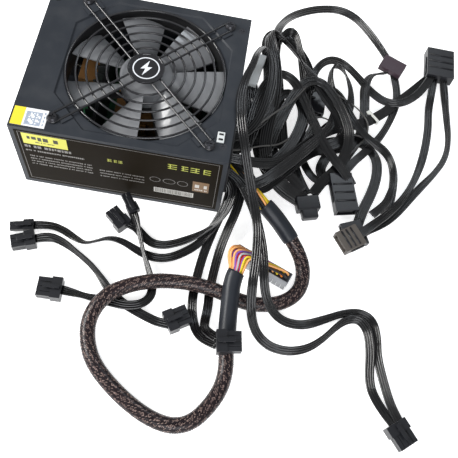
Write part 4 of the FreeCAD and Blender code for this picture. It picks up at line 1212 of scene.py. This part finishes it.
# ------------------------------------------------------------------ studio
@dataclass
class Studio:
    """Floor, lights and camera, with the camera's place and lens in millimetres and angles in degrees."""

    place: Point = (78.6, -343.5, 523.5)
    azimuth: float = -4.5205
    elevation: float = 64.0745
    roll: float = 13.6849
    lens: float = 51.16
    floor_half: float = 6.0
    floor_glow: float = 0.7
    air: float = 0.42
    lit_spot: Point = (0.05, -0.05, 0.03)

    def build(self) -> None:
        """Sets the stage."""
        self.add_floor()
        self.add_lights()
        self.add_camera()

    def add_floor(self) -> None:
        """A wide pale floor."""
        bm = bmesh.new()
        bmesh.ops.create_grid(bm, x_segments=2, y_segments=2, size=self.floor_half)
        mesh = mesh_from("floor", bm)
        floor = bpy.data.objects.new("floor", mesh)
        floor.location.z = -0.0005
        bpy.context.scene.collection.objects.link(floor)
        made = bpy.data.materials.new("floor_paper")
        made.use_nodes = True
        shader = made.node_tree.nodes["Principled BSDF"]
        shader.inputs["Base Color"].default_value = (0.9, 0.9, 0.9, 1.0)
        shader.inputs["Roughness"].default_value = 0.9
        shader.inputs["Specular IOR Level"].default_value = 0.1
        shader.inputs["Emission Color"].default_value = (1.0, 1.0, 1.0, 1.0)
        shader.inputs["Emission Strength"].default_value = self.floor_glow
        mesh.materials.append(made)

    def add_lights(self) -> None:
        """A soft bright room with one window-like light."""
        world = bpy.data.worlds.new("studio_air")
        world.use_nodes = True
        air = world.node_tree.nodes["Background"]
        air.inputs["Color"].default_value = (0.96, 0.98, 1.0, 1.0)
        air.inputs["Strength"].default_value = self.air
        bpy.context.scene.world = world
        for name, at, size, power, color in (
                ("window", (-1.3, -0.1, 1.0), 0.7, 34.0, (1.0, 0.99, 0.97)),
                ("fill", (0.2, -1.3, 0.9), 1.0, 16.0, (0.95, 0.97, 1.0)),
                ("back", (0.45, 1.1, 1.5), 0.45, 5.0, (0.86, 0.93, 1.0))):
            data = bpy.data.lights.new(name, "AREA")
            data.size = size
            data.energy = power
            data.color = color
            lamp = bpy.data.objects.new(name, data)
            lamp.location = at
            way = Vector(self.lit_spot) - Vector(at)
            lamp.rotation_euler = way.to_track_quat("-Z", "Y").to_euler()
            bpy.context.scene.collection.objects.link(lamp)
        bpy.context.scene.view_settings.view_transform = "Standard"

    def add_camera(self) -> None:
        """The camera, looking down at the unit from its label side."""
        a, e, r = (math.radians(v) for v in (self.azimuth, self.elevation, self.roll))
        back = Vector((math.sin(a) * math.cos(e), -math.cos(a) * math.cos(e), math.sin(e)))
        right = Vector((math.cos(a), math.sin(a), 0))
        up = back.cross(right)
        across = right * math.cos(r) + up * math.sin(r)
        upward = up * math.cos(r) - right * math.sin(r)
        data = bpy.data.cameras.new("view")
        data.sensor_width = 36.0
        data.lens = self.lens
        data.clip_start = 0.01
        camera = bpy.data.objects.new("view", data)
        turn = Matrix((across, upward, back)).transposed().to_4x4()
        camera.matrix_world = Matrix.Translation(Vector(self.place) * MM) @ turn
        bpy.context.scene.collection.objects.link(camera)
        bpy.context.scene.camera = camera


# ------------------------------------------------------------------ the whole
ROUTES: dict[str, list[Point]] = {
    "cord_main": [
        (84.5, -48, 39), (101, -59, 38), (116, -72, 36), (129, -80, 31), (142, -89, 24), (155, -101, 17),
        (164, -112, 11), (168, -125, 8), (166, -140, 7), (156, -151, 6.7), (142, -157, 6.7),
        (125, -159, 7), (110, -157, 9), (95, -153, 11), (75, -151, 12), (56, -152, 12), (40, -156, 14),
        (24, -162, 14), (10, -171, 14), (1, -183, 12), (-3, -197, 9), (0, -213, 6.7), (8, -228, 6.7),
        (23, -242, 6.7), (42, -255, 6.7), (61, -264, 6.7), (78, -267, 6.7), (92, -262, 6.7),
        (103, -249, 6.7), (111, -233, 6.7), (113, -218, 6.7), (111, -203, 8.5), (109.5, -190, 10.5),
        (108.3, -176, 14), (107.6, -162, 18), (107, -149, 22), (109, -138, 26), (116, -131, 28),
        (124, -128.5, 25), (128.5, -127, 19)],
    "cord_vga_a1": [
        (84.5, -57, 31), (94, -61, 29), (93, -73, 23), (90, -84, 17), (83, -98, 9), (75, -110, 4),
        (65, -119, 2.4), (53, -127, 2), (41, -130, 2), (29, -128, 2), (19, -124, 2), (7, -119, 2),
        (-4, -119, 2), (-13, -124, 2), (-22, -128, 2), (-32, -124, 2.4), (-44, -118, 2.8),
        (-56, -116, 3.3), (-69, -119, 3.3)],
    "cord_vga_a2": [
        (-64, -132, 5), (-53, -127, 4.7), (-40, -130, 4.7), (-24, -139, 4.7), (-10, -148, 4.7),
        (0, -158, 4.7), (9, -168, 4.7), (20, -175, 4.7), (32, -180, 4.7), (43, -184, 4.7), (53, -187, 5),
        (62, -187, 5)],
    "cord_vga_b1": [
        (84.5, -57, 36), (95, -62, 33), (96, -74, 27), (92, -86, 20), (84, -96, 12), (71, -105, 6),
        (57, -113, 4.4), (45, -118, 4.4), (34, -118, 4.4), (25, -112, 5), (16, -104, 6), (7, -104, 7)],
    "cord_vga_b2": [
        (12, -93, 12), (19, -104, 11), (25, -119, 9), (31, -133, 7.6), (37, -145, 7.6), (42, -156, 7.6),
        (43, -167, 7.6), (36, -175, 7.6), (24, -178, 7.6), (12, -177, 7.6), (0, -176, 7), (-10, -175, 6),
        (-20, -174, 6), (-31, -173, 6)],
    "cord_cpu_1": [
        (84.5, -48, 31), (96, -56, 28), (94, -70, 20), (89, -84, 12), (84, -100, 5), (80, -118, 2),
        (78, -135, 2), (77, -150, 2), (77, -165, 2), (80, -179, 2), (85, -190, 5), (92, -198, 14),
        (102, -203, 24)],
    "cord_cpu_2": [
        (84.5, -38, 31), (100, -50, 28), (104, -64, 24), (102, -80, 17), (97, -96, 10), (93, -114, 4),
        (91, -134, 2), (90, -152, 2), (91, -167, 2), (90, -180, 5), (91, -190, 13), (102, -198, 25)],
    "cord_long_1": [
        (84.5, -32, 55), (97, -27, 56), (107, -12, 58), (112, 10, 60), (114, 34, 62), (112, 55, 64),
        (103, 66, 67), (97, 50, 75), (95, 29, 84), (90, 8, 89.6), (88, -15, 90.4), (92, -36, 89.8),
        (98, -54, 82), (105, -70, 68), (113, -88, 56), (120, -106, 48), (122, -129, 46), (122, -151, 42),
        (124, -170, 29), (130, -181, 14), (138, -187, 5), (149, -192, 1.6), (163, -193, 1.6),
        (178, -188, 1.6), (190, -178, 1.6), (199, -167, 1.6), (208, -158, 4), (219, -155, 4.2),
        (227, -163, 4.2), (230, -176, 4.2), (231, -189, 3), (231, -201, 1.6), (233, -213, 1.6),
        (239, -223, 1.8), (246, -232, 3), (253, -240, 5)],
    "cord_long_2": [
        (84.5, -57, 46), (98, -63, 46), (108, -77, 44), (117, -92, 41), (124, -109, 38), (129, -127, 36),
        (132, -145, 30), (137, -157, 20), (146, -165, 9), (158, -169, 3), (174, -168, 1.6),
        (191, -160, 1.6), (206, -152, 1.6), (221, -149, 1.6), (232, -154, 1.6), (236, -168, 1.6),
        (237, -184, 1.8), (241, -200, 3.5), (246, -216, 4.2), (251, -228, 4.8), (257, -238, 6)],
    "cord_drive_a": [
        (84.5, -23, 55), (98, -20, 54), (110, -8, 50), (118, 10, 48), (121, 32, 48), (119, 53, 48),
        (114, 77, 48), (114, 113, 40), (126, 149, 22), (144, 174, 9), (163, 187, 4), (181, 190, 4),
        (198, 184, 4), (213, 168, 4), (227, 147, 5), (238, 127, 6), (244, 106, 6), (247, 82, 6),
        (240, 53, 7), (228, 27, 9), (214, 7, 12), (202, -8, 13), (193, -25, 12)],
    "cord_drive_b": [
        (84.5, -46, 49), (102, -47, 49), (117, -44, 44), (131, -36, 38), (144, -22, 32), (155, -6, 27),
        (167, 10, 22), (181, 24, 18), (197, 33, 15), (214, 42, 12), (230, 57, 10), (246, 76, 8),
        (259, 91, 7), (270, 105, 6), (280, 117, 6)],
    "cord_drive_c": [
        (84.5, -23, 46), (98, -18, 44), (108, 6, 42), (111, 36, 42), (108, 68, 42), (104, 96, 38),
        (110, 115, 33), (122, 117, 30), (137, 107, 28), (150, 92, 24), (157, 78, 18), (160, 64, 12),
        (158, 57, 17), (155, 63, 23), (157, 81, 27), (166, 98, 24), (178, 108, 18), (192, 107, 13),
        (205, 97, 10), (218, 83, 9), (233, 73, 9), (248, 72, 12), (262, 83, 12), (273, 99, 12),
        (281, 117, 11)],
    "cord_drive_d": [
        (293, 117, 9), (296, 93, 6), (298, 69, 5), (300, 44, 5), (296, 21, 5), (285, 2, 5), (272, -15, 5),
        (259, -34, 6), (246, -53, 8), (232, -67, 10), (216, -77, 11)],
    "cord_drive_e": [
        (284, 117, 8.5), (281, 96, 9), (279, 75, 5), (279, 52, 5), (275, 22, 5), (267, -7, 5),
        (255, -32, 6), (240, -53, 13), (226, -69, 19), (211, -84, 20)],
    "cord_drive_f": [
        (164, 62, 12), (174, 74, 14), (184, 68, 16), (192, 53, 18), (199, 38, 19), (208, 27, 18),
        (220, 19, 16), (233, 12, 14), (241, 1, 13), (244, -14, 12), (241, -31, 13), (235, -48, 17),
        (222, -62, 20)],
}


# How each lead twists from end to end, in degrees from lying flat.
ROLLS: dict[str, Sequence[float]] = {
    "cord_vga_a1": (0, 0, 20, 0, 0, 30, 60, 20, 0),
    "cord_vga_a2": (0, 50, 75, 70, 40, 0, 0, 0),
    "cord_vga_b1": (0, 20, 50, 10, 0, 0),
    "cord_vga_b2": (0, 70, 78, 60, 10, 0, 0, 40, 0),
    "cord_long_1": (0, 0, 20, 45, 30, 0, 0, 0, 0, 0, 35, 60, 30, 0, 0),
    "cord_long_2": (0, 0, 0, 0, 10, 50, 20, 0, 0),
    "cord_drive_a": (0, 40, 70, 30, 0, 30, 60, 20, 0, 0, 40, 0, 0),
    "cord_drive_b": (0, 10, 45, 20, 0, 0),
    "cord_drive_c": (0, 30, 60, 20, 0, 0, 0, 50, 75, 40, 0, 0),
    "cord_drive_d": (0, 60, 75, 50, 15, 0, 0),
    "cord_drive_e": (0, 0, 10, 50, 20, 0),
    "cord_drive_f": (0, 50, 20, 0, 60, 75, 30, 0),
}


@dataclass(frozen=True)
class Spare:
    """A lead of the bundle by the case that has no solid of its own."""

    points: Sequence[Point]
    wires: int = 4
    wire: float = 2.04
    rolls: Sequence[float] = ()
    plug: str = ""


BUNDLE: dict[str, Spare] = {
    "link_fold": Spare([
        (84.5, -36, 42), (97, -42, 40), (107, -54, 34), (117, -63, 29), (130, -48, 25), (143, -29, 20),
        (157, -9, 16), (173, 4, 13), (189, 13, 13), (198, 25, 15), (191, 35, 19), (178, 46, 24),
        (165, 58, 29), (152, 72, 34), (139, 85, 38), (127, 95, 42), (115, 101, 46), (106, 97, 51),
        (109, 82, 54), (115, 64, 52), (119, 43, 50), (119, 17, 47), (117, -6, 43), (117, -22, 38),
        (123, -36, 30), (136, -46, 22), (150, -50, 14), (162, -52, 10)],
        6, rolls=(0, 0, 0, 0, 0, 0, -10, 15, 65, 70, 10, 0, 0, 10, 0, 0), plug="plug_inline_body"),
    "link_arch": Spare([
        (163, -54, 10), (152, -38, 11), (141, -21, 14), (136, -2, 18), (130, 26, 23), (125, 56, 28),
        (120, 84, 33), (119, 107, 36), (127, 117, 38), (135, 112, 36), (141, 94, 32), (148, 71, 27),
        (153, 49, 22), (154, 29, 18), (149, 9, 14), (147, -11, 10), (154, -30, 8), (164, -46, 8)],
        5, rolls=(0, 0, 10, 40, 80, 80, 40, 10, 0, 0)),
    "link_left": Spare([
        (153, 80, 20), (145, 62, 18), (137, 45, 16), (132, 27, 14), (128, 8, 12), (127, -13, 12),
        (134, -30, 11), (146, -45, 10), (160, -56, 9)],
        5, rolls=(50, 20, 0, -20, 0), plug="plug_inline_body"),
    "link_inner": Spare([
        (159, 74, 14), (158, 61, 12), (163, 46, 10), (164, 29, 9), (157, 12, 9), (148, -2, 10),
        (139, -16, 12), (134, -31, 13), (143, -45, 11), (158, -55, 9)],
        5, rolls=(20, 60, 20, 0, 0), plug="plug_inline_body"),
    "link_loop": Spare([
        (168, 14, 10), (175, 28, 12), (187, 36, 14), (196, 48, 17), (197, 65, 20), (192, 83, 22),
        (183, 96, 24), (175, 96, 22), (174, 80, 19), (180, 65, 15), (189, 53, 11), (195, 35, 9),
        (189, 16, 8), (179, -1, 7), (173, -19, 7), (183, -28, 9), (193, -26, 11)],
        5, rolls=(0, 20, 50, 80, 60, 30, 0, 0), plug="plug_drive_one_body"),
    "link_tied": Spare([
        (233, 110, 9), (225, 107, 10), (216, 102, 11), (211, 86, 12), (212, 66, 12), (213, 46, 11),
        (210, 26, 10), (202, 9, 9), (195, -4, 8), (191, -18, 10)],
        5, rolls=(60, 40, 0, 0, 20, 0), plug="plug_drive_one_body"),
    "link_under": Spare([
        (84.5, -30, 40), (97, -22, 40), (115, -13, 32), (133, -8, 22), (153, -3, 13), (175, 2, 8),
        (196, 12, 6), (214, 24, 6), (229, 24, 6), (240, 15, 5), (246, -4, 5), (245, -26, 5),
        (241, -47, 6), (231, -66, 8), (219, -75, 9)], 4, plug="plug_sata_three_body"),
    "link_strip": Spare([
        (158, 7, 7), (174, 14, 6), (192, 21, 6), (207, 23, 6), (220, 18, 6), (229, 5, 6), (229, -14, 6),
        (224, -34, 7), (216, -54, 8), (212, -70, 10)], 5, plug="plug_sata_three_body"),
    "link_near": Spare([
        (84.5, -24, 50), (98, -12, 46), (110, 4, 38), (110, -8, 32), (112, -20, 28), (119, -33, 24),
        (131, -45, 18), (144, -53, 13), (158, -57, 10)], 5, plug="plug_inline_body"),
    "link_low": Spare([
        (149, 13, 6), (155, -3, 5), (161, -16, 5), (170, -28, 6), (181, -30, 8), (191, -24, 9)],
        4, plug="plug_drive_one_body"),
    "link_cross": Spare([
        (99, -66, 44), (110, -68, 45.5), (121, -60, 45), (131, -48, 43), (142, -34, 39), (152, -19, 34),
        (163, -2, 29), (173, 14, 24), (180, 30, 21), (183, 46, 20), (182, 60, 20)],
        5, rolls=(0, 0, 10, 0, 30, 60, 20, 0)),
    "link_dense_1": Spare([
        (101, -34, 46), (102, -12, 48), (104, 13, 48), (110, 40, 46), (122, 60, 42), (137, 57, 38),
        (148, 41, 34), (159, 21, 30), (171, 2, 26), (184, -13, 22), (197, -23, 18), (204, -32, 14)],
        5, plug="plug_drive_one_body"),
    "link_dense_2": Spare([
        (121, -22, 34), (124, -4, 36), (131, 20, 36), (140, 45, 36), (150, 62, 35), (164, 65, 33),
        (177, 52, 31), (189, 36, 28), (197, 17, 24), (195, -3, 20), (188, -19, 16), (176, -32, 12),
        (169, -46, 10)], 5, plug="plug_inline_body"),
    "link_dense_3": Spare([
        (119, -42, 30), (130, -29, 30), (141, -12, 30), (148, 8, 30), (151, 29, 29), (143, 47, 28),
        (130, 49, 28), (120, 33, 27), (117, 11, 25), (124, -10, 22), (135, -25, 18), (148, -35, 14),
        (161, -45, 11)], 5, plug="plug_inline_body"),
    "link_wide_1": Spare([
        (84.5, -40, 49), (92, -35, 47), (96, -20, 47), (98, -2, 47), (97, 14, 46), (94, 26, 46),
        (93, 36, 46)], 4, plug="plug_drive_four_body"),
    "link_wide_2": Spare([
        (84.5, -38, 45), (98, -36, 46), (105, -20, 46.5), (107, -2, 47), (106, 14, 46), (102, 26, 46),
        (99, 36, 46)], 4, plug="plug_drive_four_body"),
    "thin_one": Spare([
        (84.5, -44, 56), (98, -38, 50), (110, -28, 45), (120, -22, 40), (131, -15, 34), (145, 4, 28),
        (153, 18, 24), (163, 32, 20), (173, 34, 20), (186, 28, 17), (201, 25, 14), (216, 24, 12),
        (228, 22, 11), (240, 12, 9), (247, -6, 9), (245, -28, 9), (238, -50, 10), (226, -68, 12),
        (216, -76, 14)], 1, 1.5, plug="plug_sata_three_body"),
    "thin_two": Spare([
        (84.5, -28, 57), (98, -22, 54), (110, -8, 52), (123, 9, 50), (135, 25, 44), (144, 43, 38),
        (152, 60, 34), (165, 66, 28), (181, 62, 22), (197, 58, 18), (209, 51, 15), (217, 40, 14),
        (215, 24, 14), (207, 12, 13), (197, -2, 12), (191, -16, 12)], 1, 1.5, plug="plug_drive_one_body"),
}


@dataclass
class Leads:
    """Every lead and plug."""

    ridged: Sequence[tuple[Point, Point, float, float]] = (
        ((288.5, 114, 9), (289, 150, 9), 28, 12),
        ((192, -22, 12), (201, -60, 12), 21, 10),
        ((212, -84, 20), (195, -96, 20), 20, 9))

    def build(self) -> None:
        """Builds the leads, then dresses the plugs."""
        plugs = {
            "cord_vga_a1": ["plug_vga_a_two_body"], "cord_vga_a2": ["plug_vga_a_end_body"],
            "cord_vga_b1": ["plug_vga_b_six_body"], "cord_vga_b2": ["plug_vga_b_end_body"],
            "cord_cpu_1": ["plug_cpu_body"], "cord_cpu_2": ["plug_cpu_body"],
            "cord_long_1": ["plug_long_body"], "cord_long_2": ["plug_long_body"],
            "cord_drive_a": ["plug_drive_one_body"], "cord_drive_b": ["plug_drive_three_body"],
            "cord_drive_c": ["plug_drive_three_body"], "cord_drive_d": ["plug_sata_three_body"],
            "cord_drive_e": ["plug_drive_two_body"],
        }
        self.build_plugs()
        self.build_inline_plug()
        MainLead(ROUTES["cord_main"]).build()
        for node, points in ROUTES.items():
            if node == "cord_main":
                continue
            wires = 5 if node == "cord_drive_b" else 4
            Ribbon(node, points, wires=wires, plugs=plugs.get(node, []), rolls=ROLLS.get(node, ()),
                   far_end="connector" if node in plugs else "object").build()
        for name, spare in BUNDLE.items():
            Ribbon(name, spare.points, wires=spare.wires, wire=spare.wire, rolls=spare.rolls,
                   plugs=[spare.plug] if spare.plug else [],
                   far_end="connector" if spare.plug else "object", in_cad=False,
                   finish=Finishes.jacket if spare.wires > 1 else Finishes.thin_jacket).build()
        refine("cable_tie", Finishes.nylon, 0.3)

    def build_ridges(self) -> None:
        """The grip ridges and side rails on the flat plugs."""
        bm = bmesh.new()
        half_ridge, inset, rail = 0.7, 1.5, 0.9
        for rear, front, wide, high in self.ridged:
            long = (Vector(front) - Vector(rear)).length
            place = aim(rear, front)
            for share in (0.30, 0.52, 0.74):
                add_block(bm, (long * share - half_ridge, inset - wide / 2, high / 2 - 0.2),
                          (long * share + half_ridge, wide / 2 - inset, high / 2 + 0.6), place)
            for side in (-1, 1):
                edge = side * wide / 2
                add_block(bm, (long * 0.1, min(edge, edge + side * rail), -high / 5),
                          (long * 0.7, max(edge, edge + side * rail), high / 5), place)
        piece_from("plug_grip_ridges", bm, UNIT, [Finishes.plug])

    def build_inline_plug(self) -> None:
        """The stubby plug at the near edge of the bundle."""
        bm = bmesh.new()
        add_block(bm, (0, -11, -5), (14, 11, 5), aim(*INLINE_PLUG))
        add_block(bm, (12, -7.5, -4), (22, 7.5, 4), aim(*INLINE_PLUG))
        piece = piece_from("plug_inline_body", bm, UNIT, [Finishes.plug])
        bevel(piece, 1.6, 3)

    def build_plugs(self) -> None:
        """Dresses every plug."""
        black = Finishes.plug
        for spec in (
                PowerPlug("plug_vga_a_two", (-68, -119, 3.3), (-88, -124, 3.3), 2, 1),
                PowerPlug("plug_vga_a_six", (-63, -132, 5.4), (-83, -140, 5.4), 3, 2),
                PowerPlug("plug_vga_b_six", (9, -108, 7), (-6, -95, 7), 3, 2),
                PowerPlug("plug_vga_b_two", (15, -95, 12), (4, -80, 12), 2, 1),
                PowerPlug("plug_vga_b_end", (-30, -173, 6), (-52, -174, 6), 4, 2),
                PowerPlug("plug_vga_a_end", (59, -187, 6), (76, -176, 6), 4, 2),
                PowerPlug("plug_cpu", (101, -201, 25), (121, -198, 25), 4, 2),
                PowerPlug("plug_long", (251, -238, 6.4), (266, -257, 6.4), 4, 2)):
            spec.build()
        for node, finish, slot in (
                ("plug_sata_one", Finishes.plug_purple, "plug_purple"),
                ("plug_sata_two", black, "plug_black"), ("plug_sata_three", black, "plug_black"),
                ("plug_drive_one", black, "plug_black"),
                ("plug_drive_two", Finishes.plug_brown, "plug_black"),
                ("plug_drive_three", black, "plug_black"),
                ("plug_drive_four", Finishes.plug_white, "plug_white"),
                # The main plug's pale grey finish is a painted reflection on black nylon.
                ("plug_main", Finishes.plug_painted_reflection, "plug_grey")):
            refine(node, finish, 0.4)
        self.build_ridges()
        face = bmesh.new()
        turn = Matrix.Translation(Vector(MAIN_PLUG_AT) * MM) @ Matrix.Rotation(MAIN_PLUG_YAW, 4, "Z")
        add_block(face, (-25.4, -4.4, 0), (25.4, 4.4, 0.35), turn)
        piece_from("plug_main_face", face, UNIT, [black], smooth=False)


def main() -> None:
    """Builds the scene."""
    logging.basicConfig(level=logging.INFO, format="%(name)s %(message)s")
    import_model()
    Studio().build()
    Leads().build()
    Casing().build()
    Fan().build()
    Prints().build()
    bpy.context.view_layer.update()


if __name__ == "__main__":
    main()
